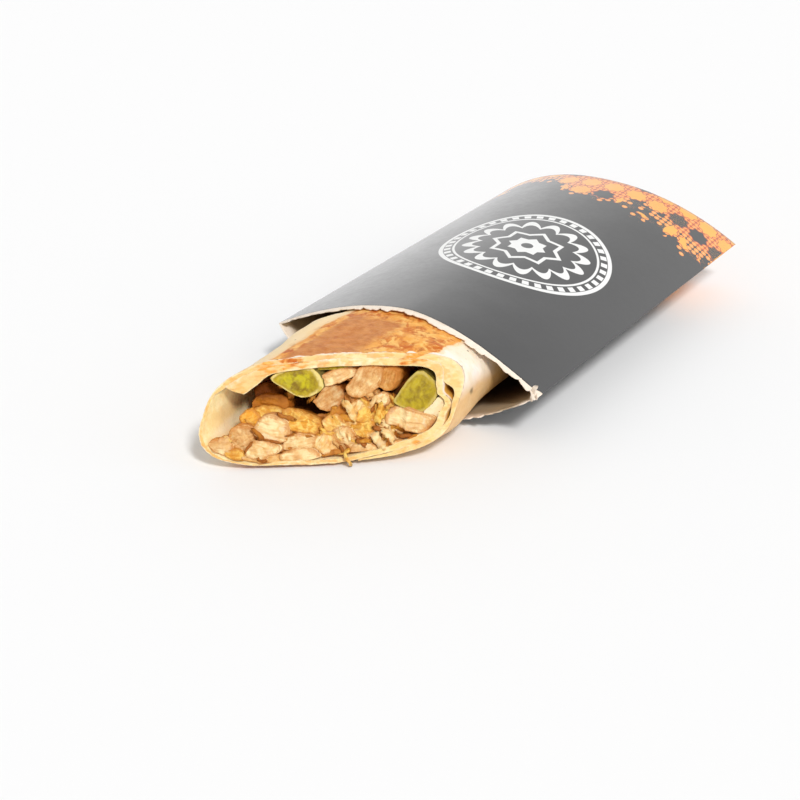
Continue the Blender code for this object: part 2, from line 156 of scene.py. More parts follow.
SMALL_PIECES = (  # in the same order
    # Lower left
    (0.4, 14, 0.1, 0.35, -8, (-28.4, -13.1), (-27.0, -11.8), (-25.4, -10.7), (-23.0, -10.7),
     (-20.1, -11.4), (-17.1, -12.2), (-19.3, -13.5), (-22.3, -14.2), (-25.3, -14.8), (-27.7, -14.4)),
    (0.3, 13, 0.12, 0.2, 0, (-16.7, -14.5), (-14.1, -13.7), (-10.8, -13.3), (-7.2, -13.6), (-5.8, -14.9),
     (-5.9, -16.2), (-8.0, -16.7), (-11.6, -16.9), (-15.2, -16.8), (-16.8, -16.0)),
    (0.6, 14, 0.34, 0.5, 0, (-31.1, -13.7), (-28.4, -14.6), (-24.8, -15.0), (-21.2, -14.6),
     (-17.6, -14.6), (-17.3, -16.7), (-21.3, -16.8), (-26.1, -16.5), (-28.9, -15.7)),
    (0.9, 13, 0.28, 0.1, 0, (-16.0, -11.3), (-14.9, -9.8), (-12.1, -9.2), (-9.1, -9.3), (-7.2, -10.2),
     (-7.0, -12.2), (-8.7, -13.1), (-12.3, -12.9), (-15.9, -13.2), (-16.5, -12.5)),
    (1.0, 12, 0.35, 0.0, 0, (-37.3, -10.7), (-35.9, -9.5), (-34.2, -9.6), (-33.6, -11.5), (-33.8, -12.8),
     (-35.4, -13.0), (-37.0, -12.2)),
    (1.0, 9, 0.4, 0.2, 0, (-39.3, -10.5), (-38.0, -9.5), (-37.1, -10.6), (-37.4, -12.2), (-38.8, -11.8)),
    (1.2, 9, 0.3, 0.9, -15, (-34.4, -13.4), (-32.0, -13.0), (-30.4, -13.6), (-29.4, -15.0),
     (-31.0, -15.3), (-33.4, -14.8)),
    # Lump in the hollow, its upper piece coloured dark brown as painted shade under the flap, and what
    # lies below it
    (8.0, 10, 1.0, 0.6, 40, (-28.8, 3.6), (-27.0, 4.6), (-23.4, 4.7), (-20.8, 3.6), (-18.9, 1.6),
     (-20.4, -0.6), (-26.4, -0.4), (-28.4, 1.6)),
    (5.5, 12, 0.66, 0.9, -10, (-28.0, 0.4), (-26.3, 1.8), (-23.0, 1.9), (-19.8, 1.8), (-18.0, 0.7),
     (-18.1, -1.2), (-19.8, -2.6), (-23.0, -2.9), (-26.4, -2.7), (-28.3, -1.3)),
    (3.0, 12, 0.1, 0.8, 0, (-26.8, -1.1), (-23.8, -1.0), (-20.2, -1.1), (-18.1, -2.1), (-18.2, -4.2),
     (-20.9, -4.6), (-23.9, -4.8), (-25.8, -4.9), (-27.5, -4.5), (-28.4, -2.6)),
    (2.5, 9, 0.12, 1.2, 20, (-30.2, -3.5), (-28.7, -1.8), (-26.8, -1.2), (-25.3, -3.1), (-25.9, -6.2),
     (-28.0, -7.2), (-29.9, -6.2)),
    # Middle
    (2.5, 9, 0.6, 0.8, 10, (3.0, 2.1), (5.4, 2.7), (8.0, 2.1), (9.3, 1.0), (7.9, -0.9), (6.0, -0.5),
     (4.0, 0.1)),
    (1.3, 9, 0.1, 0.9, 30, (8.0, -2.3), (9.7, -1.5), (11.3, -2.9), (10.6, -4.2), (9.2, -5.2),
     (7.4, -4.6)),
    (1.5, 9, 0.1, 0.5, 70, (5.8, -0.2), (7.8, 0.3), (9.3, -1.2), (7.7, -3.1), (5.7, -2.6)),
    (1.5, 8, 0.0, 0.3, 0, (14.0, 2.1), (15.1, 2.8), (16.1, 1.7), (15.7, 0.3), (14.7, 0.0), (13.9, 1.2)),
    (1.5, 10, 0.15, 0.75, 30, (3.2, -8.0), (6.2, -6.7), (10.2, -5.2), (11.5, -5.8), (11.0, -9.0),
     (9.3, -10.4), (7.4, -9.1), (4.8, -9.9)),
    (1.5, 10, 0.2, 0.6, -20, (-3.7, -5.2), (-1.8, -3.8), (0.3, -4.5), (1.6, -6.3), (0.2, -7.8),
     (-2.3, -7.9)),
    (3.5, 10, 0.62, 1.0, 60, (-2.2, -4.0), (-1.1, -0.6), (1.5, 0.1), (3.0, -2.7), (4.3, -5.9),
     (3.1, -7.8), (0.6, -7.0), (-1.3, -5.7)),
    (1.0, 10, 0.35, 0.3, 80, (0.3, -7.7), (3.5, -7.7), (5.3, -9.5), (4.5, -11.4), (1.8, -11.0),
     (-0.1, -9.3)),
    (1.0, 10, 0.4, 0.0, 0, (1.4, -11.3), (3.4, -10.6), (6.0, -10.9), (6.8, -12.5), (4.9, -14.2),
     (2.1, -14.1)),
    (1.0, 11, 0.34, 0.1, 0, (5.9, -13.1), (8.8, -12.4), (12.0, -13.6), (14.6, -15.0), (14.4, -16.0),
     (11.3, -16.3), (7.0, -16.3), (5.3, -15.0)),
    (0.8, 9, 0.6, 0.8, 0, (16.1, -13.0), (18.1, -12.5), (19.9, -14.1), (18.6, -15.2), (16.5, -14.7)),
    (0.5, 9, 0.15, 0.2, 0, (19.9, -12.6), (22.5, -12.4), (24.3, -13.8), (22.0, -15.0), (19.5, -15.2),
     (18.1, -14.6)),
    (0.8, 9, 0.6, 0.8, 0, (-4.1, -14.9), (-1.5, -14.5), (1.7, -14.4), (3.1, -15.9), (1.6, -16.7),
     (-3.3, -16.8)),
    # White sauce beside the right pickle
    (1.1, 8, 0.0, -1.0, 40, (29.6, -2.9), (31.9, -1.4), (33.3, 0.6), (34.3, -0.6), (34.2, -2.8),
     (33.2, -4.4), (31.6, -4.6), (30.3, -3.9)),
)
PICKLES = {  # distance behind the cut, length back, corners on the cut
    "pickle_left": (
        0.8, 12,
        (-19.6, 9.2), (-18.2, 10.4), (-16.0, 11.3), (-13.0, 12.0), (-9.4, 12.1), (-6.6, 11.7),
        (-5.2, 10.5), (-3.8, 8.3), (-3.6, 5.9), (-5.4, 4.5), (-7.9, 3.5), (-10.3, 3.4), (-12.7, 4.5),
        (-14.7, 5.9), (-17.1, 7.2), (-18.6, 8.0),
    ),
    "pickle_right": (
        0.6, 13,
        (19.4, 0.8), (21.2, 3.1), (23.2, 5.6), (25.3, 8.0), (27.0, 9.4), (28.7, 9.4), (30.6, 7.9),
        (33.1, 5.2), (33.5, 3.6), (31.9, 0.8), (29.8, -1.7), (27.8, -2.8), (25.8, -2.6), (23.3, -1.5),
        (21.0, -0.4),
    ),
    "pickle_sliver": (
        2.0, 9,
        (-5.6, 11.1), (-1.1, 11.3), (3.1, 11.6), (5.6, 12.3), (3.1, 12.7), (-3.2, 12.7),
    ),
}
SHREDS = (  # ends on the cut, width, distance behind it, brownness, yellowness
    ((3.3, 0.9), (6.0, -4.6), 2.2, 1.5, 0.05, 0.5),
    ((13.3, 2.3), (10.3, -1.6), 1.6, 1.5, 0.3, 0.0),
    ((15.0, 0.0), (12.8, -5.9), 2.0, 1.5, 0.1, 1.0),
    ((16.7, -2.5), (13.9, -6.3), 1.7, 1.2, 0.05, 0.9),
    ((10.1, -6.8), (10.9, -11.3), 2.0, 1.5, 0.15, 0.8),
    ((11.9, -8.9), (15.7, -14.8), 2.5, 0.8, 0.25, 0.0),
    ((13.2, -9.0), (14.9, -12.9), 1.6, 1.2, 0.1, 0.4),
    ((15.0, -8.1), (18.6, -12.3), 2.1, 0.8, 0.12, 0.35),
    ((17.3, -9.6), (20.4, -12.2), 1.7, 1.2, 0.2, 0.3),
    ((0.5, -8.4), (1.5, -11.2), 1.2, 0.8, 0.1, 0.5),
    ((2.4, -8.1), (3.1, -11.2), 1.2, 0.6, 0.1, 0.4),
    ((4.4, -8.6), (4.8, -10.8), 1.0, 0.8, 0.2, 0.4),
    ((1.7, -15.6), (4.5, -14.1), 1.5, 0.2, 0.2, 0.8),
    ((-17.7, -1.7), (-12.1, -3.1), 1.3, 0.7, 0.75, 0.7),
    ((-25.4, -5.8), (-22.6, -9.3), 1.6, 0.3, 0.75, 0.9),
    ((-24.2, -15.3), (-21.4, -16.0), 1.5, 0.1, 0.85, 0.5),
    ((10.3, 2.2), (12.0, 2.8), 1.3, 1.5, 0.5, 0.3),
    ((8.0, 1.4), (9.6, -1.4), 1.3, 2.0, 0.3, 1.0),
    ((12.1, 0.9), (11.4, -2.6), 1.2, 1.8, 0.95, 0.2),
    ((17.2, 2.0), (17.6, -1.0), 1.2, 2.8, 0.4, 1.0),
    ((6.2, -12.2), (10.6, -12.0), 1.5, 1.8, 0.5, 0.9),
    ((7.6, -10.6), (11.0, -12.4), 1.3, 2.6, 0.6, 0.6),
    ((-4.6, -8.2), (-0.6, -9.0), 1.5, 1.2, 0.3, 0.7),
    ((-5.0, -6.8), (-3.2, -8.6), 1.3, 1.6, 0.2, 1.0),
    ((-1.0, -11.4), (1.2, -12.8), 1.2, 1.2, 0.5, 0.3),
    ((20.6, -10.8), (24.4, -10.4), 1.6, 1.3, 0.95, 0.4),
    ((23.0, -12.2), (26.4, -11.0), 1.5, 0.9, 0.55, 1.2),
    ((-24.4, -9.0), (-17.8, -10.9), 1.1, 0.6, 0.85, 0.6),
    ((-25.8, -10.3), (-28.6, -13.0), 1.1, 0.5, 0.95, 0.3),
    ((-14.6, -8.6), (-8.2, -9.3), 1.1, 0.6, 0.75, 0.8),
    ((12.6, -7.1), (16.2, -7.8), 1.3, 0.9, 1.0, 0.3),
    ((6.9, -11.2), (9.7, -13.2), 1.7, 0.6, 0.95, 0.3),
    ((1.6, -12.4), (2.4, -14.6), 1.3, 0.5, 0.8, 0.3),
    ((17.0, -10.4), (17.6, -13.0), 1.3, 0.7, 0.8, 1.0),
    ((-35.0, -8.4), (-33.4, -10.4), 1.3, 1.6, 0.3, 0.6),
    ((-18.4, -10.8), (-15.6, -9.6), 1.2, 1.6, 0.45, 0.9),
)
# Places on the cut that stay open and dark: middle, half width and half height
OPEN_PLACES = (
    (-10.5, 0.4, 8.0, 5.0), (23.4, 5.6, 8.0, 7.5), (4.2, 6.6, 4.4, 4.0), (-21, 6.6, 7.0, 5.6),
    (-22.5, 1.5, 6.5, 5.0), (-34, 1.0, 10, 10.0),
)
LOOSE_SHREDS = 110
PIECE_BACK = 0.88  # size of a piece's back, as a share of its face
TOUCH = 0.5  # by which pieces are grown, so that they touch
AROUND, FACE_ROWS, BACK_ROWS = 132, 24, 26  # points of a piece's grid
SOFTEN, SOFT_REACH = 0.8, 12  # in points of its outline

CREASE_Z = FLOOR_DEPTH
MOUTH_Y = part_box("sleeve")[1].y / MM - LENGTH  # of the mouth, in the row's frame


# Numbers


def mix(a, b, t):
    return a + (b - a) * t


def smooth(low, high, value):
    """0 below low, 1 above high, and a smooth step between."""
    t = np.clip((value - low) / (high - low), 0, 1)
    return t * t * (3 - 2 * t)


def bell(value, spread):
    """1 where value is 0, and less the further it is from that."""
    return np.exp(-((value / spread) ** 2))


def place(points):
    """From the sleeve's frame in millimetres to the row's frame in metres."""
    return (np.asarray(points) + (0, MOUTH_Y, CREASE_Z)) * MM


class Noise:
    """Smooth random field, from about -1 to 1."""

    def __init__(self, seed):
        draw = np.random.RandomState(seed)
        self.table = np.tile(draw.permutation(256), 2)
        slopes = draw.normal(size=(256, 3))
        self.slopes = slopes / np.linalg.norm(slopes, axis=1, keepdims=True)

    def __call__(self, points, size):
        p = np.asarray(points, float) / size
        cell = np.floor(p).astype(int)
        part = p - cell
        ease = part**3 * (part * (part * 6 - 15) + 10)
        total = 0.0
        for corner in itertools.product((0, 1), repeat=3):
            c = (cell + corner) & 255
            index = self.table[self.table[self.table[c[..., 0]] + c[..., 1]] + c[..., 2]]
            value = np.sum(self.slopes[index] * (part - corner), axis=-1)
            total = total + value * np.prod(np.where(corner, ease, 1 - ease), axis=-1)
        return 1.6 * total

    def rough(self, points, size, octaves=4, gain=0.5):
        """Sum of ever finer fields."""
        size = np.asarray(size, float)
        points = np.asarray(points, float)
        return sum(gain**k * self(points + 17.3 * k, size / 2**k) for k in range(octaves))


noise = Noise(11)


# Meshes


class Shape:
    """Grids of points joined into one mesh, with named values at the points."""

    def __init__(self, *names):
        self.points, self.quads, self.kinds = [], [], []
        self.values = {name: [] for name in names}
        self.count = 0

    def grid(self, points, kind=0, across=False, along=False, **values):
        """Joins a grid of points with quads. across and along close it on itself."""
        index = self.count + np.arange(points.shape[0] * points.shape[1]).reshape(points.shape[:2])
        if across:
            index = np.vstack([index, index[:1]])
        if along:
            index = np.hstack([index, index[:, :1]])
        quads = np.stack([index[:-1, :-1], index[1:, :-1], index[1:, 1:], index[:-1, 1:]], -1)
        self.points.append(points.reshape(-1, 3))
        self.quads.append(quads.reshape(-1, 4))
        self.kinds.append(np.full(quads.size // 4, kind))
        for name, held in self.values.items():
            value = np.broadcast_to(values.get(name, 0.0), points.shape[:2])
            held.append(value.reshape(-1))
        self.count += points.shape[0] * points.shape[1]

    def build(self, name, materials, slot, *nodes):
        """One object of the grids, welded where they meet, that rides with the root body and hides the
        part's nodes.
        """
        mesh = bpy.data.meshes.new(name)
        points, quads = place(np.concatenate(self.points)), np.concatenate(self.quads)
        mesh.from_pydata(points.tolist(), [], quads.tolist())
        for material in materials:
            mesh.materials.append(material)
        mesh.polygons.foreach_set("material_index", np.concatenate(self.kinds).astype(np.int32))
        for key, held in self.values.items():
            layer = mesh.attributes.new(key, "FLOAT", "POINT")
            layer.data.foreach_set("value", np.concatenate(held).astype(np.float32))
        tidy = bmesh.new()
        tidy.from_mesh(mesh)
        bmesh.ops.remove_doubles(tidy, verts=tidy.verts, dist=2e-6)
        bmesh.ops.recalc_face_normals(tidy, faces=tidy.faces)
        tidy.to_mesh(mesh)
        tidy.free()
        mesh.shade_smooth()
        return add_piece(name, mesh, slot, *nodes)


def add_piece(name, mesh, slot, *nodes):
    made = bpy.data.objects.new(name, mesh)
    bpy.context.scene.collection.objects.link(made)
    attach(made, "root")
    if nodes:
        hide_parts(*nodes)
    return made


def normals(points):
    """Unit normals of a grid of points."""
    a = np.gradient(points, axis=0)
    b = np.gradient(points, axis=1)
    n = np.cross(a, b)
    return n / np.maximum(np.linalg.norm(n, axis=-1, keepdims=True), 1e-9)


# Material nodes

RANGE_ENDS = ("From Min", "From Max", "To Min", "To Max")


class Graph:
    """A material's nodes, written as sums of values."""

    def __init__(self, name):
        self.material = bpy.data.materials.new(name)
        self.material.use_nodes = True
        self.tree = self.material.node_tree
        self.shader = self.tree.nodes["Principled BSDF"]
        where = self.add("ShaderNodeTexCoord").outputs["Object"]
        scaled = self.add("ShaderNodeVectorMath", operation="SCALE")
        self.tree.links.new(where, scaled.inputs[0])
        scaled.inputs["Scale"].default_value = 1 / MM
        self.place = scaled.outputs[0]  # in millimetres

    def add(self, kind, **settings):
        node = self.tree.nodes.new(kind)
        for key, value in settings.items():
            setattr(node, key, value)
        return node

    def put(self, socket, value):
        """Links or sets a socket. Three numbers for a colour are its screen colour, 0 to 255."""
        if isinstance(value, Value):
            value = value.socket
        if isinstance(value, bpy.types.NodeSocket):
            self.tree.links.new(value, socket)
        elif socket.type == "RGBA" and len(value) == 3:
            socket.default_value = light_of(value)
        else:
            socket.default_value = value

    def math(self, operation, *inputs):
        node = self.add("ShaderNodeMath", operation=operation)
        for socket, value in zip(node.inputs, inputs):
            self.put(socket, value)
        return Value(self, node.outputs[0])

    def attribute(self, name):
        return Value(self, self.add("ShaderNodeAttribute", attribute_name=name).outputs["Fac"])

    def distance(self, x, y, z):
        """Distance in millimetres along a direction from the row's origin."""
        node = self.add("ShaderNodeVectorMath", operation="DOT_PRODUCT")
        self.put(node.inputs[0], self.place)
        node.inputs[1].default_value = (x, y, z)
        return Value(self, node.outputs["Value"])

    def behind_cut(self):
        """Distance in millimetres behind the plane of the cut, along the sleeve."""
        across = math.tan(CUT_TURN)
        up = math.tan(CUT_LEAN) / math.cos(CUT_TURN)
        start = MOUTH_Y + CUT_FRONT - MIDDLE_X * across - (CREASE_Z + MIDDLE_Z) * up
        return self.distance(-across, 1, -up) - start

    def stretched(self, x, y, z):
        """Place with each axis multiplied, for grain that runs one way."""
        node = self.add("ShaderNodeVectorMath", operation="MULTIPLY")
        self.put(node.inputs[0], self.place)
        node.inputs[1].default_value = (x, y, z)
        return node.outputs[0]

    def noise(self, size, detail=3.0, rough=0.55, at=None, warp=0.0):
        """Cloudy field from 0 to 1 with features of about that size in millimetres."""
        node = self.add("ShaderNodeTexNoise")
        self.put(node.inputs["Vector"], self.place if at is None else at)
        node.inputs["Scale"].default_value = 1 / size
        node.inputs["Detail"].default_value = detail
        node.inputs["Roughness"].default_value = rough
        node.inputs["Distortion"].default_value = warp
        return Value(self, node.outputs["Fac"])

    def cells(self, size):
        """Distance from the nearest of many scattered spots, as a share of their spacing."""
        node = self.add("ShaderNodeTexVoronoi", feature="F1")
        self.put(node.inputs["Vector"], self.place)
        node.inputs["Scale"].default_value = 1 / size
        return Value(self, node.outputs["Distance"])

    def ramp(self, value, low, high, to_low=0.0, to_high=1.0):
        """value from low to high becomes to_low to to_high, smoothly, and holds beyond."""
        node = self.add("ShaderNodeMapRange", interpolation_type="SMOOTHSTEP")
        self.put(node.inputs["Value"], value)
        for key, number in zip(RANGE_ENDS, (low, high, to_low, to_high)):
            node.inputs[key].default_value = number
        return Value(self, node.outputs["Result"])

    def blend(self, share, a, b):
        """Colour a where share is 0 and b where it is 1."""
        node = self.add("ShaderNodeMix", data_type="RGBA")
        self.put(node.inputs["Factor"], share)
        sockets = [s for s in node.inputs if s.type == "RGBA"]
        self.put(sockets[0], a)
        self.put(sockets[1], b)
        return next(s for s in node.outputs if s.type == "RGBA")

    def between(self, value, low, high, a, b):
        """Colour a where value is low and b where it is high."""
        return self.blend(self.ramp(value, low, high), a, b)

    def coats(self, base, *layers):
        """Colour base under layers, each given by how far it covers and its colour."""
        for share, shade in layers:
            base = self.blend(share, base, shade)
        return base

    def bump(self, height, depth, before=None):
        """Relief of that depth in millimetres for a height from 0 to 1."""
        node = self.add("ShaderNodeBump")
        node.inputs["Distance"].default_value = depth * MM
        self.put(node.inputs["Height"], height)
        if before is not None:
            self.put(node.inputs["Normal"], before)
        return node.outputs["Normal"]

    def finish(self, **sockets):
        for name, value in sockets.items():
            self.put(self.shader.inputs[name.replace("_", " ")], value)
        return self.material


def operation(name):
    return lambda value, *others: value.graph.math(name, value, *others)


class Value:
    """A number in a material, that sums and products can be written with."""

    def __init__(self, graph, socket):
        self.graph, self.socket = graph, socket

    __add__, __sub__, __mul__, __truediv__ = map(operation, ("ADD", "SUBTRACT", "MULTIPLY", "DIVIDE"))
    __abs__, most, least = map(operation, ("ABSOLUTE", "MAXIMUM", "MINIMUM"))

    def __rsub__(self, other):
        return self.graph.math("SUBTRACT", other, self)


def light_of(shade):
    """The light that a shader takes for a screen colour."""
    parts = [value / 255 for value in shade]
    light = [part / 12.92 if part < 0.04045 else ((part + 0.055) / 1.055) ** 2.4 for part in parts]
    return (*light, 1.0)


# Card sleeve


def top_height(x, y):
    t = y / LENGTH
    reach = np.clip(np.abs(x / HALF_WIDTH), 0, 1)
    return mix(*RISE, t) * (1 - reach ** mix(*CURVE, t))


def belly_height(x, y):
    reach = np.clip(np.abs(x / HALF_WIDTH), 0, 1)
    return np.maximum(-FLOOR_DEPTH, -BELLY_DEPTH * (1 - reach**BELLY_CURVE)) + 0 * y


def steepness(height, x, y):
    step = 0.2
    slope = (height(x + step, y) - height(x - step, y)) / (2 * step)
    return np.hypot(1, slope)


def inner_half_width(y):
    top_slope = mix(*RISE, y / LENGTH) * mix(*CURVE, y / LENGTH) / HALF_WIDTH
    belly_slope = BELLY_DEPTH * BELLY_CURVE / HALF_WIDTH
    walls = CARD * (np.hypot(1, top_slope) + np.hypot(1, belly_slope))
    return HALF_WIDTH - walls / (top_slope + belly_slope)


def end_line(across):
    return LENGTH - END_INSET * (1 - across**2)


STRIP = 2.7  # from the mouth to the print, in the middle
HALFWAY = 60  # row of points about the middle of the sleeve
FLAKES = (  # direction, length, width
    ((0.1, -0.2, 1.0), 4.6, 2.0),
    ((0.5, -0.5, 0.5), 3.4, 1.5),
    ((-0.2, -0.5, -0.4), 3.0, 1.4),
)


def lip_reach(across, lip):
    """How far the card reaches out of the mouth."""
    return lip * np.sin(math.pi * ((across + 1) / 2) ** 0.7)


def torn_edge(across, lip, seed):
    """Torn edge's distance from the mouth: slanting flats with a jump between them."""
    draw = np.random.RandomState(seed)
    flats = 60
    ends = np.cumsum(draw.uniform(2.4, 6.4, flats)) - HALF_WIDTH - 6
    starts, stops = draw.uniform(-0.7, 1.3, flats), draw.uniform(-1.1, 0.6, flats)
    k = np.searchsorted(ends, across * HALF_WIDTH) - 1
    share = (across * HALF_WIDTH - ends[k]) / (ends[k + 1] - ends[k])
    edge = 1.3 * mix(starts[k], stops[k], share**0.7) + 0.5 * (1 - np.sin(math.pi * share) ** 0.4)
    spots = np.stack([across * HALF_WIDTH, 0 * across + seed, 0 * across], -1)
    edge += 0.3 * noise.rough(spots, 2.4, 4, 0.6) + 0.5 * noise(spots, 9.0)
    frayed = -2.2 * bell((across - 1) * HALF_WIDTH, 1.4)
    return edge * (1 - np.abs(across) ** 24) + frayed - lip_reach(across, lip)


def card_wave(x, y, side):
    """Slight waves of the handled card, none at the creases or where it lies."""
    spots = np.stack([x, y * 0.7, 0 * x + 40 * side], -1)
    hold = (1 - (x / HALF_WIDTH) ** 2) * smooth(0, 25, LENGTH - y)
    return (0.3 * noise(spots, 38) + 0.06 * noise(spots, 9)) * hold


def make_sleeve():
    card = Shape("sheet_u", "sheet_v", "side")
    across = np.linspace(-1, 1, 301)
    rows = np.linspace(0, 1, 121) ** 1.15
    s = across[:, None]
    outer, inner, u = {}, {}, {}
    for side, height, lip, seed in ((1, top_height, 0.0, 3), (-1, belly_height, LOWER_LIP, 8)):
        torn = torn_edge(across, lip, seed)
        spots = np.stack([across * HALF_WIDTH, 0 * across, 0 * across + seed], -1)
        print_edge = STRIP * mix(0.6, 1.0, bell(across * HALF_WIDTH - 3, 22))
        print_edge = print_edge + 0.25 * noise(spots, 14) + 0.07 * noise.rough(spots, 1.6, 3)
        print_edge -= lip_reach(across, lip)
        print_edge = mix(print_edge, 0.8, np.abs(across) ** 30)
        print_edge += 2.4 * bell((across - 1) * HALF_WIDTH, 2.2)
        print_edge = np.maximum(print_edge, torn + 0.5)
        strip = torn[:, None] + (print_edge - torn)[:, None] * np.linspace(0, 1, 9)[:-1]
        y = np.concatenate([strip, mix(print_edge[:, None], end_line(s), rows)], axis=1)
        bare = strip.shape[1]
        x = s * HALF_WIDTH + 0 * y
        wave = card_wave(x, y, side)
        if side < 0:
            wave *= smooth(-FLOOR_DEPTH, -FLOOR_DEPTH + 5, height(x, y))
            y = y - CARD * (1 - s**2) * np.clip(y / LENGTH, 0, 1)
        z = height(x, y) + wave
        arc = np.concatenate([[0], np.cumsum(np.hypot(np.diff(x[:, HALFWAY]), np.diff(z[:, HALFWAY])))])
        u[side] = (arc - arc[-1] / 2)[:, None] + 0 * y
        # Bare strip: the printed face tore away with a little of the card
        skin = np.stack([x, y, z], -1)
        peel = np.zeros(y.shape)
        peel[:, :bare] = 0.16 + 0.1 * noise(skin[:, :bare], 1.5) + 0.06 * noise(skin[:, :bare], 0.5)
        peel *= smooth(0, 1.5, HALF_WIDTH - np.abs(x))
        z = z - side * peel * steepness(height, x, y)
        outer[side] = np.stack([x, y, z], -1)
        x = s * inner_half_width(y)
        y = y - 2 * CARD * np.clip((y - 20) / (LENGTH - 20), 0, 1)
        z = height(x, y) + wave - side * CARD * steepness(height, x, y)
        inner[side] = np.stack([x, y, z], -1)
    for pair in (outer, inner):
        crease = (pair[1][[0, -1]] + pair[-1][[0, -1]]) / 2
        for skin in pair.values():
            skin[[0, -1]] = crease
    for side in (1, -1):
        skin = outer[side]
        card.grid(skin[:, : bare + 1], 1)
        card.grid(skin[:, bare:], 0, sheet_u=u[side][:, bare:], sheet_v=skin[:, bare:, 1], side=side)
        card.grid(inner[side], 1)
        # Torn edge from the outer skin to the inner one, rough and thin
        steps = np.linspace(0, 1, 5)[None, :, None]
        edge = skin[:, :1] + (inner[side][:, :1] - skin[:, :1]) * steps
        push = np.sin(math.pi * steps[..., 0]) * (0.15 + 0.2 * noise(edge, 0.8))
        edge[..., 1] -= push * (1 - np.abs(across) ** 30)[:, None]
        card.grid(edge, 1)
    top, belly = outer[1][:, -1], outer[-1][:, -1]
    flap_rows, belly_rows = 14, 6
    down = np.concatenate([np.linspace(0, FLAP, flap_rows), np.linspace(FLAP, 1, belly_rows)])
    level = np.concatenate([np.zeros(flap_rows), np.ones(belly_rows)])
    wall = top[:, None] + (belly - top)[:, None] * down[None, :, None]
    wall[..., 1] = mix(top[:, None, 1], belly[:, None, 1], level[None])
    wall[..., 1] -= 0.9 * np.sin(math.pi * down)[None] * (1 - s**2)
    along = end_line(s) + top[:, None, 2] - wall[..., 2]
    card.grid(wall, 0, sheet_u=u[1][:, -1:], sheet_v=along, side=1.0)
    top, belly = inner[1][:, -1:], inner[-1][:, -1:]
    lining = top + (belly - top) * np.linspace(0, 1, 8)[None, :, None]
    card.grid(lining, 1)
    # Frayed flakes stand up where the tear crossed the right crease
    draw = np.random.RandomState(4)
    corner = np.array((HALF_WIDTH - 1.0, 0.0, 0.3))
    for way, length, width in FLAKES:
        middle = corner + 0.3 * length * np.array(way)
        strand(card, draw, middle, way, length, width, 0.4, 0.0, 0.0, kind=1)
    card.build("card_sleeve", [printed_card(), bare_card()], "card", "sleeve")


STAR_PITCH = 9.6
DOT_PITCH = 2.4
INK_EDGE = 0.1  # softness of the print
ROSETTE = (5.0, 76.0)  # its middle, across and along the sheet
OUTER_RING, BEAD_RING, INNER_RING = 31.0, 28.7, 26.4  # the rosette's radii
PETALS, BEADS = 16, 40
BLACK = (24, 24, 25)


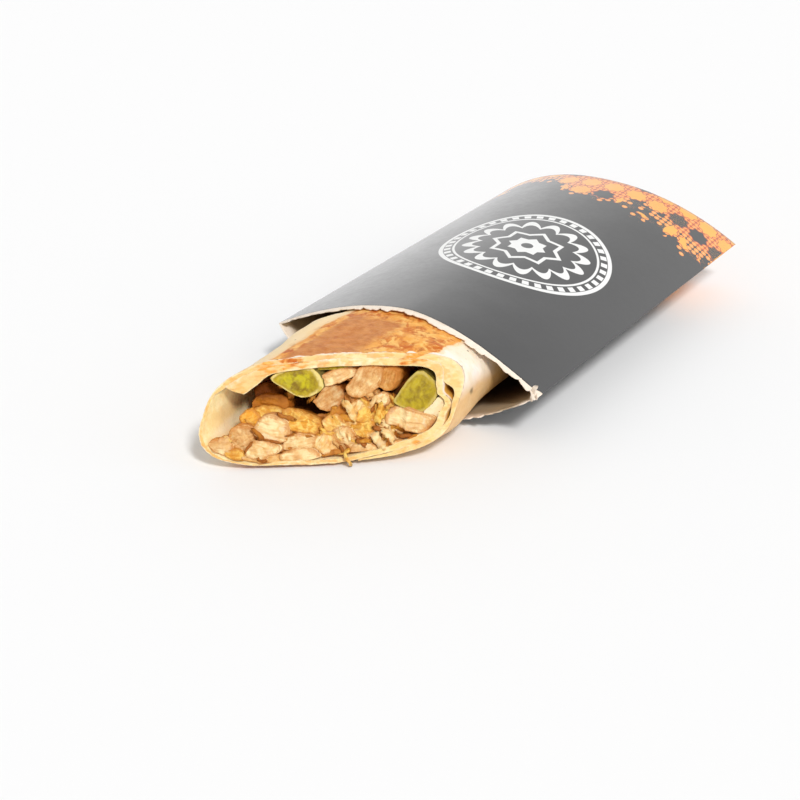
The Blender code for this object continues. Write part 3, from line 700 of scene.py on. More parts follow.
def printed_card():
    """Black gloss card with an orange star mosaic at its closed end and a white rosette."""
    g = Graph("printed_card")
    u, v, side = g.attribute("sheet_u"), g.attribute("sheet_v"), g.attribute("side")

    def vector(x, y):
        node = g.add("ShaderNodeCombineXYZ")
        for socket, value in zip(node.inputs, (x, y, side)):
            g.put(socket, value)
        return node.outputs[0]

    def length(x, y):
        return g.math("SQRT", x * x + y * y)

    def filled(distance, half):
        """1 where a distance is below a half width."""
        return g.ramp(distance, half - INK_EDGE, half + INK_EDGE, 1.0, 0.0)

    def star(x, y):
        """Distance from the middle of an eight-pointed star, in the same all along its edge."""
        x, y = abs(x), abs(y)
        return x.most(y).least((x + y) * 0.7071)

    def lattice(pitch):
        """Place in a square cell, the cell's draw from 0 to 1, and its middle along the sheet."""
        column = g.math("FLOOR", u / pitch)
        row = g.math("FLOOR", v / pitch)
        draw = g.add("ShaderNodeTexWhiteNoise", noise_dimensions="3D")
        g.put(draw.inputs["Vector"], vector(column, row))
        middle = (row + 0.5) * pitch
        return u - (column + 0.5) * pitch, v - middle, Value(g, draw.outputs["Value"]), middle

    flat = vector(u, v)
    border = g.noise(26, 1.0, at=flat) * 34 + g.ramp(u, -24.0, -2.0, 130.0, 117.0)
    x, y, luck, row = lattice(STAR_PITCH)
    star_there = g.ramp(row - border + luck * 9, 7.9, 8.1)
    star_open = g.ramp(luck, 0.1999, 0.2, 1.0, 0.0)
    stars = star(x, y)
    dot_x, dot_y, dot_luck, dot_row = lattice(DOT_PITCH)
    dots = length(dot_x, dot_y)
    dot_there = g.ramp(dot_row - border + dot_luck * 10, 7.9, 8.1)
    ground = g.ramp(v - border + g.noise(5, 2.0, at=flat) * 10, 12.9, 13.1)
    around_star = filled(stars, 3.6) * star_there
    orange = g.blend(g.noise(4, 2.0, at=flat), (255, 166, 62), (252, 142, 50))
    orange = g.blend(filled(dots, 0.45) * 0.5, orange, (255, 206, 130))
    ink = g.coats(
        BLACK,
        (ground.most(around_star), (190, 78, 18)),
        (filled(dots, 1.08) * dot_there * (1 - around_star), orange),
        (filled(stars, 3.2) * star_there, g.blend(star_open, (255, 174, 50), BLACK)),
    )
    # Rosette: rings, petals and a star, in white
    dx, dy = u - ROSETTE[0], v - ROSETTE[1]
    far = length(dx, dy)
    turn = g.math("ARCTAN2", dy, dx)
    petal = abs(g.math("COSINE", turn * (PETALS / 2)))
    bead = abs(g.math("COSINE", turn * (BEADS / 2)))
    white = filled(abs(far - OUTER_RING), 0.8).most(filled(abs(far - INNER_RING), 0.45))
    white = white.most(filled(abs(far - BEAD_RING), 1.2) * g.ramp(bead, 0.62, 0.7))
    outer_petals = filled(far - petal * 5.5, 18.0)
    inner_petals = filled(far - petal * 3.2, 16.6)
    white = white.most(outer_petals * (1 - inner_petals))
    heart = star(dx, dy)
    white = white.most(filled(abs(heart - 9.3), 0.7)).most(filled(heart, 5.2) * (1 - filled(far, 2.2)))
    # Wear on the creases
    fibre = g.noise(0.7, 5.0, 0.7)
    worn = g.ramp(g.noise(1.1, 6.0, 0.75), 0.64, 0.7) * g.ramp(abs(u), 53.0, 54.4)
    base = g.coats(
        ink,
        (white * g.ramp(side, -0.1, 0.1), (238, 238, 236)),
        (worn * 0.7, g.blend(fibre, (196, 176, 140), (240, 228, 206))),
    )
    smudge = g.noise(16, 3.0) * 0.5 + g.noise(2.2, 2.0) * 0.5
    rough = g.ramp(smudge, 0.3, 0.7, 0.28, 0.36)
    relief = g.bump(g.noise(0.5, 3.0), 0.01)
    relief = g.bump(g.noise(3.5, 2.0), 0.02, relief)
    return g.finish(
        Base_Color=base, Roughness=rough, Normal=relief, IOR=1.5, Coat_Weight=1.0, Coat_Roughness=0.22,
    )


def bare_card():
    """Uncoated cream side of the card, with torn fibres and painted shade inside the sleeve."""
    g = Graph("bare_card")
    fibre = g.noise(0.8, 6.0, 0.72)
    streak = g.noise(3.0, 4.0, 0.6, at=g.stretched(1, 0.25, 1))
    # How far into the sleeve a point lies, for the painted shade
    below = g.ramp(g.distance(0, 0, 1), CREASE_Z - 6.0, CREASE_Z - 1.0, 4.4, 0.0)
    inward = g.distance(0, 1, 0) - MOUTH_Y + below + (g.noise(14) - 0.5) * 8
    base = g.coats(
        g.blend(streak, (238, 220, 198), (251, 239, 225)),
        (g.ramp(fibre, 0.45, 0.75) * 0.5, (253, 244, 232)),
        (g.ramp(g.cells(2.4), 0.05, 0.12, 1.0, 0.0) * 0.3, (160, 126, 84)),
        # Painted shade: darker further into the sleeve, and sooner on its lower side
        (g.ramp(inward, 1.5, 6.0) * 0.85, (160, 138, 102)),
        (g.ramp(inward, 8.0, 26.0) * 0.95, (104, 70, 36)),
    )
    return g.finish(Base_Color=base, Roughness=0.85, Normal=g.bump(fibre, 0.12))


# Flatbread


def cut_y(x, z):
    across = (x - MIDDLE_X) * math.tan(CUT_TURN)
    up = (z - MIDDLE_Z) * math.tan(CUT_LEAN) / math.cos(CUT_TURN)
    return CUT_FRONT + across + up


def section(angle, inset, y, scale=1.0):
    """x and z of the wrap's section at an angle from +X, inset from its outer surface."""
    turned = np.radians(angle)
    c, s = np.cos(turned), np.sin(turned)
    quarter = (np.mod(angle, 360) // 90).astype(int) % 4
    reaches = [
        (np.abs(c) ** power[quarter] + np.abs(s) ** power[quarter]) ** (-1 / power[quarter])
        for power in (SQUARENESS, SQUEEZED)
    ]
    inside = np.clip(1 - y / SQUEEZE_START, 0, 1)
    reach = scale * mix(*reaches, inside)
    uneven = UNEVEN * (np.sin(3 * turned) + np.sin(2 * turned + 1)) / 2
    around = np.mod(angle, 360)
    shoulders = bell(around - 143, 20) + bell(around - 326, 22)
    uneven = uneven + SWELL * shoulders * bell(y - SWELL_Y, 16)
    half_height = np.where(s > 0, WRAP_TOP, WRAP_BOTTOM)
    x = MIDDLE_X + reach * (WRAP_HALF_WIDTH - inset + uneven) * c
    z = MIDDLE_Z + reach * (half_height - inset + uneven) * s
    return x, z


def layer_gap(angle):
    return LAYER_GAP + sum(width * bell(angle - middle, spread) for middle, spread, width in SLITS)


def sheet_inset(turn):
    under = OUTER_EDGE + 360
    return (BREAD + layer_gap(turn)) * smooth(under - TUCK_RUN, under, turn)


def heap_inset(angle):
    angle = np.mod(angle + 180, 360) - 180
    beyond = (BREAD + layer_gap(INNER_EDGE)) * (1 - smooth(3, 14, angle - INNER_EDGE))
    return np.where(angle <= INNER_EDGE, sheet_inset(angle), beyond) + BREAD + 0.35


def tail_rows(count):
    steps = np.linspace(0, 1, count + 1)[1:]
    return TAIL_START + TAIL_LENGTH * steps, np.sqrt(1 - 0.96 * steps**2)


BREAD_VALUES = ("toast", "pink", "inner", "edge", "speck", "oil", "sauce", "between")
BREAD_SPECKS = (((25.7, -14.4, 11.2), 0.8), ((30.8, -9.5, 0.8), 1.1), ((27.5, -0.6, 10.9), 0.8))


def browned(points, outermost):
    """How far the outside is browned where its flat top and underside were pressed on the grill."""
    x, z = points[..., 0], points[..., 2]
    ragged = 1.5 * noise.rough(points, (5, 9, 5), 5, 0.6)
    top = smooth(-22.5, -15.5, x + 0.5 * ragged) * smooth(23.6, 18.4, x + ragged) * smooth(8.5, 10.5, z)
    low = smooth(-24, -18, x + ragged) * smooth(10, 2, x + ragged) * smooth(-9.5, -12.5, z)
    return (top + 0.8 * low) * outermost


def make_bread():
    bread = Shape(*BREAD_VALUES)
    near = np.linspace(0, 1, 81) ** 1.3
    deep = np.array((6.0, 14.0, 26.0, 44.0, 64.0, TAIL_START))
    tail, scales = tail_rows(5)
    rows = len(near) + len(deep) + len(tail)
    runs = np.concatenate([near * 42, 45 + deep, 45 + tail])
    turn = np.linspace(INNER_EDGE, OUTER_EDGE, 561)[:, None] + np.zeros(rows)
    # The sheet's first edge hangs ragged in the opening
    ragged = noise.rough(np.stack([runs, 0 * runs, 0 * runs], -1), 4.0, 3)
    flap_end = INNER_EDGE - 2
    drawn_back = (INNER_EDGE - flap_end + 3.0 * ragged) * smooth(45, 30, runs)
    turn = turn - drawn_back * smooth(INNER_EDGE - 30, INNER_EDGE, turn)
    scale = np.concatenate([np.ones(len(near) + len(deep)), scales])[None]

    def surface(inset):
        """Grid from the cut to the hidden end, at an inset given for each point."""
        x, z = section(turn[:, :1], inset[:, :1], np.full((len(turn), 1), CUT_FRONT))
        front = cut_y(x, z)
        y = np.hstack([front * (1 - near), np.tile(np.concatenate([deep, tail]), (len(turn), 1))])
        x, z = section(turn, inset, y, scale)
        return np.stack([x, y, z], -1)

    # Layers pressed together but for the slits, where the solids keep them apart, and the
    # outer end drawn out thin over the layer below
    under = OUTER_EDGE + 360
    inner_turn = smooth(under - 12, under + 22, turn)
    # The outer layer is thick beside the upper slit and thin beside the lower one
    angle = np.mod(turn + 180, 360) - 180
    outer = BREAD + 2.9 * bell(angle - 30, 12) - 0.6 * bell(angle + 13, 9)
    inset = (outer + layer_gap(turn) - LAYER_GAP - 0.2) * inner_turn
    pressed = inner_turn * smooth(20, 50, turn)
    right = smooth(-48, -36, angle) * smooth(72, 60, angle)
    inner = (BREAD + LAYER_GAP + 0.2) * (1 - 0.45 * bell(angle - 14, 28))
    thick = mix(mix(BREAD, outer, right), inner, inner_turn)
    thick = thick * mix(0.1, 1, smooth(OUTER_EDGE - 6, OUTER_EDGE + 26, turn))
    thick = thick * mix(0.35, 1, smooth(-1, 2, flap_end - turn))
    flap = smooth(120, 149, turn) * smooth(flap_end + 1, flap_end - 2.5, turn)
    thick = thick + 2.8 * flap * smooth(5, 1, runs)[None]
    # The knife thins the single layer at its cut
    single = smooth(-95, -110, turn) * smooth(-206, -196, turn)
    low = smooth(-150, -125, turn) * smooth(-40, -60, turn)
    thick = thick * (1 - (0.5 * single + 0.25 * low) * smooth(5.5, 0, runs)[None])
    outside, base, inside = surface(inset), surface(0 * inset), surface(inset + thick)
    outward = normals(base)
    middle = np.array((MIDDLE_X, 0, MIDDLE_Z))
    outward = outward * np.sign(np.sum(outward * (base - middle) * (1, 0, 1), -1, keepdims=True))
    show = smooth(4, -4, base[..., 1])  # relief fades inside the sleeve
    outermost = smooth(OUTER_EDGE + 368, OUTER_EDGE + 352, turn)
    innermost = smooth(INNER_EDGE - 372, INNER_EDGE - 356, turn)
    toast = browned(base, outermost)
    swell = 0.5 * noise.rough(base, 16, 2) * mix(0.3, 1, show)
    blister = np.maximum(0, noise(base, 4.2) - 0.2) + 0.5 * np.maximum(0, noise(base, 2.0) - 0.3)
    flat = 0.1 * noise.rough(base, 1.2, 3)
    lift = swell + show * outermost * (mix(0.14, 0.35, toast) * blister + 0.7 * flat)
    outside = outside + outward * lift[..., None]
    wall = 0.16 * noise.rough(base + 50, 7.0, 4) + 0.03 * noise(base, 0.9)
    inside = inside + outward * (swell + show * innermost * wall)[..., None]
    # Cut edge, torn into flakes along the layers
    a, b = outside[:, :1], inside[:, :1]
    across = np.linspace(0, 1, 12)[1:-1]
    edge = a + (b - a) * across[None, :, None]
    along, up = place_on_cut(edge[..., 0], edge[..., 2])
    flakes = np.stack([along / 3.2, up / 0.8, 0 * along], -1)
    torn = 0.4 * noise.rough(flakes, 1.0, 4, 0.55) + 0.35 * noise.rough(edge, 1.8, 3)
    edge[..., 1] += torn * np.sin(math.pi * across)[None] ** 0.5
    outside[:, :1, 1] += 0.7 * np.abs(noise.rough(a, 1.6, 4, 0.6))
    inside[:, :1, 1] += 0.6 * np.abs(noise.rough(b, 1.3, 3))
    # Browning runs over the edge at the sides of the top
    x = edge[..., 0]
    window = smooth(-27, -17, x) * smooth(-4, -12, x) + smooth(10, 14, x) * smooth(22, 17, x)
    over = window * smooth(6, 9, edge[..., 2]) * (0.7 + 0.7 * noise.rough(flakes, 1.6, 3))
    over = np.clip(over * (1 - 0.5 * across[None]), 0, 1) * (outermost + pressed)[:, :1]
    stain = np.exp(-(((along - 26.5) / 2.4) ** 2 + ((up + 12.2) / 1.1) ** 2) ** 1.5)
    x, y, z = (outside[..., axis] for axis in range(3))
    ragged = 1.7 * noise.rough(base, 5.0, 2) + 0.8 * noise.rough(base, 1.8, 3)
    rim = smooth(0.1, 1.1, y - cut_y(x, z) + ragged)
    pink = smooth(6.5, -0.5, x + 3.0 * noise.rough(base, 6.0, 3)) * smooth(-17, -15, x)
    pink = pink * smooth(-3, -9, y + 2.5 * noise.rough(base, 5.0, 3))
    speck = sum(
        np.exp(-(np.sum((outside - spot) ** 2, -1) / size**2) ** 1.5) for spot, size in BREAD_SPECKS
    )
    # Oily streak, painted near-white as a highlight, and sauce on the wall of the left hollow
    x, y, z = (inside[..., axis] for axis in range(3))
    left = smooth(-20, -24, x) * innermost
    oil = bell(z + 5.2 - 0.11 * (y + 50), 1.7) * smooth(-74, -62, y) * smooth(-42, -54, y) * left
    sauce = np.exp(-(((y + 52) / 3.6) ** 2 + ((z + 7.8) / 2.2) ** 2)) * left

    def along_profile(outer, middle, inner):
        """Values from the hidden end along the outside, over the cut edge and back inside."""
        outer, inner = outer + 0 * toast, inner + 0 * toast
        return np.concatenate([outer[:, ::-1], middle + 0 * edge[..., 0], inner], axis=1)

    profile = np.concatenate([outside[:, ::-1], edge, inside], axis=1)
    bread.grid(
        profile,
        toast=along_profile(toast * rim, np.maximum(over, 0.6 * stain), 0),
        pink=along_profile(pink, 0, 0),
        inner=along_profile(0, across[None], 1),
        edge=along_profile(0, 1, 0),
        speck=along_profile(speck, 0, 0),
        oil=along_profile(0, 0, oil),
        sauce=along_profile(0, 0, sauce),
        between=along_profile(inner_turn, 0, smooth(-200, -206, turn)),
    )
    for end in (0, -1):
        # Sides of the sheet's two edges
        half = profile.shape[1] // 2
        bread.grid(np.stack([profile[end, :half], profile[end, ::-1][:half]], 1), edge=0.5, inner=0.5)
    bread.grid(np.stack([profile[:, 0], profile[:, -1]], 1))
    bread.build("rolled_bread", [baked_bread()], "bread", "flatbread")


def baked_bread():
    """Soft pale flatbread, browned in patches where the grill pressed it."""
    g = Graph("baked_bread")
    toast, pink, inner, edge, speck, oil, sauce, between = (g.attribute(name) for name in BREAD_VALUES)
    broad, middle, fine = g.noise(11), g.noise(3.2, 4.0), g.noise(0.9, 5.0, 0.6)
    cut, x = g.behind_cut(), g.distance(1, 0, 0)
    golden = g.ramp(g.distance(0.35, 0, -1) + broad * 6, -9.0, -2.0)
    covered = g.distance(0, 1, -0.3) - MOUTH_Y + CREASE_Z * 0.3 + (middle - 0.5) * 4
    pale = g.coats(
        g.between(broad, 0.35, 0.65, (250, 232, 206), (254, 242, 230)),
        (g.ramp(middle, 0.52, 0.75) * 0.3, (240, 206, 150)),
        # Painted shade: more golden and darker towards the underside
        (golden * 0.8, g.blend(middle, (240, 194, 116), (216, 156, 76))),
        (g.ramp(x + (middle - 0.5) * 6, -12.0, -22.0) * 0.7, (250, 216, 152)),
        # Painted shade where the sleeve covers the bread
        (g.ramp(covered, 0.0, 9.0) * 0.75, (232, 184, 110)),
    )
    # Painted shade: warmer and darker deeper behind the cut on the inside, less on the oily streak
    warm = g.ramp(cut + (middle - 0.5) * 5, 2.0, 11.0) * (1 - oil * 0.3)
    soft = g.coats(
        g.between(broad * 0.5 + middle * 0.5, 0.38, 0.64, (252, 233, 182), (244, 210, 142)),
        # Painted highlight: near-white along the oily streak
        (g.ramp(oil, 0.1, 0.8) * 0.9, (255, 243, 212)),
        (warm * 0.7, (255, 214, 150)),
        (g.ramp(sauce + (middle - 0.5) * 0.4, 0.3, 0.7), (240, 168, 62)),
    )
    # Painted shade inside the slits between the layers, darker deeper behind the cut
    hidden = g.between(cut, 0.5, 4.5, (222, 164, 72), (150, 94, 28))
    # Cut edge: cream crumb with golden and white flakes along the layers
    flake = g.noise(1.5, 4.0, 0.6, at=g.stretched(0.3, 0.3, 1.0), warp=0.3)
    tan = g.noise(3.0, at=g.stretched(0.5, 0.5, 1.0))
    left = x + middle * 8
    # Painted highlight: whiter along the outer rim of the cut edge, most on the left
    whitish = g.ramp(inner + (fine - 0.5) * 0.3, 0.12, 0.4, 0.6, 0.0) * g.ramp(left, 2.0, 14.0, 1.0, 0.4)
    crumb = g.coats(
        g.between(flake, 0.36, 0.64, (240, 198, 128), (248, 224, 170)),
        (g.ramp(g.noise(4.5, 2.0), 0.52, 0.66) * 0.6, (252, 240, 208)),
        (g.ramp(tan, 0.5, 0.6) * 0.75, (234, 168, 92)),
        (g.ramp(g.noise(0.9), 0.55, 0.8) * 0.15, (214, 160, 90)),
        (g.ramp(x + middle * 6, -8.0, -16.0) * 0.6, (236, 184, 106)),
        (g.ramp(left, 6.0, 16.0, 0.0, 0.5), (242, 204, 130)),
        (whitish * g.ramp(g.noise(3.5, 2.0), 0.4, 0.6, 0.2, 1.0), (254, 244, 218)),
    )
    # Browning: golden, then orange and brown streaks, pink-brown in the middle
    streak = g.noise(3.2, 3.5, 0.55, at=g.stretched(0.8, 0.45, 1.0), warp=0.6)
    heat = toast * g.ramp(streak * 0.6 + broad * 0.4, 0.3, 0.66, 0.45, 1.1)
    hot = g.coats(
        g.between(streak, 0.34, 0.66, (248, 180, 88), (204, 106, 36)),
        (g.ramp(g.noise(2.8, 3.0, 0.5, warp=0.6), 0.46, 0.64) * 0.8, (254, 204, 118)),
    )
    scorch = g.ramp(g.noise(2.6, 4.0, 0.58, at=g.stretched(1, 0.6, 1)), 0.54, 0.7)
    seeds = g.ramp(g.cells(8.5), 0.035, 0.065, 0.7, 0.0) * (1 - toast) * (1 - edge)
    base = g.coats(
        pale,
        (g.ramp(inner, 0.6, 0.9), soft),
        # Painted shade between the layers
        (between * g.ramp(cut, 0.4, 1.2), hidden),
        (edge, crumb),
        (g.ramp(toast, 0.0, 0.35) * 0.6, (244, 204, 142)),
        (g.ramp(toast, 0.35, 0.6), (234, 160, 72)),
        (g.ramp(heat, 0.4, 0.7), hot),
        (pink * toast * 0.9, g.between(middle, 0.35, 0.65, (194, 118, 60), (212, 141, 80))),
        (toast * scorch * (1 - pink * 0.7) * 0.7, (172, 84, 32)),
        (seeds.most(speck * 0.8), (112, 92, 66)),
    )
    rough = g.ramp(fine, 0.3, 0.7, 0.5, 0.66) - inner * 0.14 - toast * 0.1 - oil * 0.05
    gloss = g.ramp(between.most(toast * 0.7).most(edge * 0.8), 0.0, 1.0, 0.5, 0.1) + oil * 0.15
    pores = g.bump(fine, 0.14)
    relief = g.bump(middle, 0.25, pores)
    relief = g.bump(streak * toast, 0.15, relief)
    return g.finish(
        Base_Color=base, Roughness=rough, Normal=relief, IOR=1.45, Specular_IOR_Level=gloss,
        Subsurface_Weight=0.1, Subsurface_Radius=(1.0, 0.6, 0.3), Subsurface_Scale=0.0014,
    )


# Filling


def on_cut(along, up, behind):
    """Points at places on the cut face, moved back from it."""
    x = MIDDLE_X + along * math.cos(CUT_TURN) - up * math.sin(CUT_TURN) * math.sin(CUT_LEAN)
    z = MIDDLE_Z + up * math.cos(CUT_LEAN)
    return np.stack([x, cut_y(x, z) + behind, z], -1)


def rounded_outline(corners, count):
    """Middle of an outline, and its edge at even turns round that, with the corners rounded."""
    corners = np.array(corners, float)
    middle = corners.mean(0)
    rays = np.arange(count) * math.tau / count
    ways = np.stack([np.cos(rays), np.sin(rays)], -1)
    reach = np.full(count, np.inf)
    for a, b in zip(corners, np.roll(corners, -1, 0)):
        side = b - a
        cross = ways[:, 0] * side[1] - ways[:, 1] * side[0]
        gone = a - middle
        with np.errstate(divide="ignore", invalid="ignore"):
            far = (gone[0] * side[1] - gone[1] * side[0]) / cross
            share = (gone[0] * ways[:, 1] - gone[1] * ways[:, 0]) / cross
        met = (far > 0) & (share >= -1e-9) & (share <= 1 + 1e-9)
        reach = np.where(met, np.minimum(reach, far), reach)
    steps = range(-SOFT_REACH, SOFT_REACH + 1)
    weights = np.exp(-0.5 * ((np.array(steps) / SOFTEN) ** 2))
    weights /= weights.sum()
    reach = sum(weight * np.roll(reach, step) for weight, step in zip(weights, steps))
    return middle, middle + ways * reach[:, None]


def cut_block(
    shape, row, ragged=0.6, relief=1.0, bevel=0.16, skirt=0.45, sink=0.0, touch=TOUCH, coarse=1
):
    """Cut piece: a broken, fibrous face on the cut, rounded over its edge and run back."""
    behind, length, tone, gold, grain, *corners = row
    middle, edge = rounded_outline(corners, AROUND // coarse)
    ways = (edge - middle) / np.linalg.norm(edge - middle, axis=1, keepdims=True)
    edge = edge + touch * ways
    size = np.ptp(np.array(corners), axis=0).min()
    face = np.linspace(0, 1, FACE_ROWS // coarse) ** 0.8
    turned = np.clip((face - 0.9) / 0.1, 0, 1)
    face_depth = bevel * (1 - np.sqrt(1 - turned**2))
    back = np.linspace(0, 1, BACK_ROWS // coarse)[1:] ** 1.2
    share = np.concatenate([face, mix(1.0, PIECE_BACK, back), [0.0]])
    depth = np.concatenate([face_depth, mix(bevel, length, back), [length]])
    flat = middle + (edge - middle)[None] * share[:, None, None]
    flat[..., 1] -= (sink * depth / length)[:, None]
    wider = skirt * smooth(bevel, 1.5, depth) * smooth(6, 2.5, depth)
    flat = flat + ways[None] * wider[:, None, None]
    along, up = flat[..., 0], flat[..., 1]
    deep = depth[:, None] + 0 * along
    spots = np.stack([along, up, deep], -1)
    angle = math.radians(grain)
    bent = 0.5 * noise(spots, 5.0)
    run = along * math.cos(angle) + up * math.sin(angle)
    beside = up * math.cos(angle) - along * math.sin(angle) + bent
    fibre = noise(np.stack([run / 3.6, beside / 0.8, deep / 2.4], -1), 1.0)
    fibre = fibre + 0.5 * noise(np.stack([run / 2.6, beside / 0.38 + 9, deep / 2.4], -1), 1.0)
    lump = noise.rough(spots + 31, 3.0, 3)
    front = np.concatenate([np.ones(len(face)), np.zeros(len(back) + 1)])[:, None] + 0 * along
    # The face is tilted and folded along a line
    draw = np.random.RandomState(int(abs(np.sum(corners)) * 10) % 1000)
    away = flat - middle
    slope, fold = draw.uniform(-0.3, 0.3, 2), draw.uniform(0, math.pi)
    beyond = away @ (math.cos(fold), math.sin(fold)) - draw.uniform(-0.2, 0.2) * size
    broken = away @ slope + draw.uniform(0.15, 0.45) * np.abs(beyond)
    broken = np.clip(broken, -0.8, 1.3) * min(1.0, size / 6)
    broken = relief * (0.3 * fibre + 0.2 * lump + broken)
    broken[len(face):-1] = broken[len(face) - 1] * (1 - back[:, None])
    broken[-1] = 0
    deep = deep + broken
    outward = away / np.maximum(np.linalg.norm(away, axis=-1, keepdims=True), 1e-6)
    swell = ragged * (0.3 * noise.rough(spots, 2.6, 5, 0.66) + 0.14 * fibre)
    swell = swell * np.clip(share[:, None] * 1.6 - 0.6, 0, 1)
    flat = flat + outward * swell[..., None]
    points = on_cut(flat[..., 0], flat[..., 1], behind + deep)
    rim = share[:, None] + 0 * along
    shape.grid(points, along=True, tone=tone, gold=gold, front=front, rim=rim, fibre=fibre)


def strand(shape, draw, middle, way, length, width, thick, tone, gold, kind=0):
    """Torn shred of meat: a bent, uneven ribbon with blunt ragged ends."""
    rows, around = 18, 12
    t = np.linspace(-1, 1, rows)
    way = np.array(way) / np.linalg.norm(way)
    aside = np.cross(way, draw.normal(size=3))
    aside /= np.linalg.norm(aside)
    third = np.cross(way, aside)
    bend, curl = draw.uniform(-0.28, 0.28, 2) * length
    spine = middle + np.outer(t * length / 2, way) + np.outer(bend * (1 - t**2), aside)
    spine = spine + np.outer(curl * t**3 / 2, third)
    taper = np.clip(1 - np.abs(t) ** 7.0, 0, 1) ** 0.5
    turns = np.arange(around) * math.tau / around
    boxy = (np.abs(np.cos(turns)) ** 4 + np.abs(np.sin(turns)) ** 4) ** -0.25
    ring = np.outer(np.cos(turns), aside) * width / 2 + np.outer(np.sin(turns), third) * thick / 2
    ring = (ring * boxy[:, None])[None]
    seed = draw.uniform(0, 90)
    run, turned = np.broadcast_arrays(t[:, None], turns[None])
    thin = 1 + 0.35 * noise(np.stack([run * length / 2.2 + seed, 0 * run, 0 * run], -1), 1.0)
    points = spine[:, None] + ring * (taper[:, None] * thin)[..., None]
    uneven = noise.rough(points + seed, 1.7, 3, 0.5)
    split = noise(np.stack([1.1 * run, 2.6 * np.cos(turned) + seed, 2.6 * np.sin(turned)], -1), 1.0)
    points = points + (points - spine[:, None]) * (0.3 * uneven + 0.45 * split)[..., None]
    torn = noise(np.stack([2.2 * np.cos(turned), 2.2 * np.sin(turned) + seed, 0.5 * run], -1), 1.0)
    points = points + way * (0.22 * length * torn * run * np.abs(run) ** 3)[..., None]
    shape.grid(points, kind, along=True, tone=tone, gold=gold, front=0.4, rim=0.6, fibre=split)


def recess(along, up):
    """How far behind the cut the bare heap lies."""
    depth = RECESS + 0.0 * along
    for middle, height, half_width, half_height, amount in HOLLOWS:
        away = ((along - middle) / half_width) ** 2 + ((up - height) / half_height) ** 2
        depth = depth + amount * np.exp(-away)
    return depth


def place_on_cut(x, z):
    up = (z - MIDDLE_Z) / math.cos(CUT_LEAN)
    along = (x - MIDDLE_X + up * math.sin(CUT_TURN) * math.sin(CUT_LEAN)) / math.cos(CUT_TURN)
    return along, up


MEAT = ("tone", "gold", "front", "rim", "fibre")


def kept_inside(points):
    """Points drawn in towards the wrap's middle where they would come through the bread."""
    away = points[:, ::2] - (MIDDLE_X, MIDDLE_Z)
    high = np.where(away[:, 1] > 0, WRAP_TOP, WRAP_BOTTOM)
    angle = np.degrees(np.arctan2(away[:, 1] / high, away[:, 0] / WRAP_HALF_WIDTH))
    x, z = section(angle, heap_inset(angle) - 1.1, points[:, 1])
    share = np.hypot(x - MIDDLE_X, z - MIDDLE_Z) / np.maximum(np.hypot(*away.T), 1e-6)
    kept = points.copy()
    kept[:, ::2] = (MIDDLE_X, MIDDLE_Z) + away * np.minimum(1, share)[:, None]
    return kept


def is_open(along, up):
    return any(((along - u) / w) ** 2 + ((up - v) / h) ** 2 < 1 for u, v, w, h in OPEN_PLACES)


def is_covered(along, up):
    """Whether a place on the cut lies behind a large piece or a pickle."""
    outlines = [row[5:] for row in PIECES.values()] + [row[2:] for row in PICKLES.values()]
    for corners in outlines:
        crossings = 0
        for (a, b), (c, d) in zip(corners, corners[1:] + corners[:1]):
            crossings += (b > up) != (d > up) and along < a + (up - b) * (c - a) / (d - b)
        if crossings % 2:
            return True
    return False


def make_filling():
    meat = roast_meat()
    for name, row in PIECES.items():
        piece = Shape(*MEAT)
        open_behind = name in ("chicken_hanging", "chicken_strip", "chicken_top")
        sink = 4.5 if name == "chicken_gold" else 0.0
        cut_block(piece, row, sink=sink, skirt=0.15 if open_behind else 0.45)
        if name == "chicken_top":
            cut_block(piece, BROWN_END)
        piece.points = [kept_inside(points) for points in piece.points]
        piece.build("cut_" + name, [meat], "chicken", name)
    draw = np.random.RandomState(5)
    scraps = Shape(*MEAT)
    for row in SMALL_PIECES:
        cut_block(scraps, row, ragged=1.1, sink=3.0, touch=2 * TOUCH, coarse=2)
    for a, b, width, behind, tone, gold in SHREDS:
        ends = on_cut(*a, behind), on_cut(*b, behind + draw.uniform(-0.3, 1.0))
        way, middle = ends[1] - ends[0], (ends[0] + ends[1]) / 2
        length = 1.1 * np.linalg.norm(way)
        strand(scraps, draw, middle, way, length, width, 0.75 * width, tone, gold)
        for _ in range(2):
            along, up = mix(np.array(a), np.array(b), draw.uniform()) + draw.uniform(-1.2, 1.2, 2)
            if is_open(along, up) or is_covered(along, up):
                continue
            middle = on_cut(along, up, behind + draw.uniform(1.2, 3.0))
            size = width * draw.uniform(0.5, 0.8)
            bent = way + on_cut(*(1.5 * draw.normal(size=2)), draw.uniform(0, 1)) - on_cut(0.0, 0.0, 0.0)
            length = draw.uniform(2.6, 5.0)
            strand(scraps, draw, middle, bent, length, size, 0.7 * size, tone + 0.15, gold)
    made = 0
    while made < LOOSE_SHREDS:
        along, up = draw.uniform(-33, 33), draw.uniform(-15, 9)
        behind = draw.uniform(5.0, 8.0) - 1.4 * smooth(0, -5, up)
        seen = along + 0.58 * behind, up + 0.32 * behind
        if (along / 33) ** 2 + ((up + 1.5) / 13) ** 2 > 0.92 or is_open(*seen) or is_covered(along, up):
            continue
        made += 1
        middle = on_cut(along, up, behind)
        way = on_cut(*draw.normal(size=2), draw.uniform(-0.3, 0.3)) - on_cut(0.0, 0.0, 0.0)
        length, width = draw.uniform(4, 7), draw.uniform(2.0, 3.2)
        tone, gold = draw.uniform(0.2, 0.6), draw.uniform(0.3, 1.2)
        strand(scraps, draw, middle, way, length, width, width * draw.uniform(0.45, 0.8), tone, gold)
    scraps.points = [kept_inside(points) for points in scraps.points]
    # One shred hangs over the lower edge of the bread
    hanging = on_cut(np.array(4.8), np.array(-16.2), -0.8)
    way = on_cut(6.4, -18.6, 0) - on_cut(3.2, -13.8, 0)
    strand(scraps, np.random.RandomState(9), hanging, way, 4.4, 1.5, 1.0, 0.1, 0.6)
    scraps.build("filling_shreds", [meat], "chicken", "chicken_filling")
    make_heap(meat)


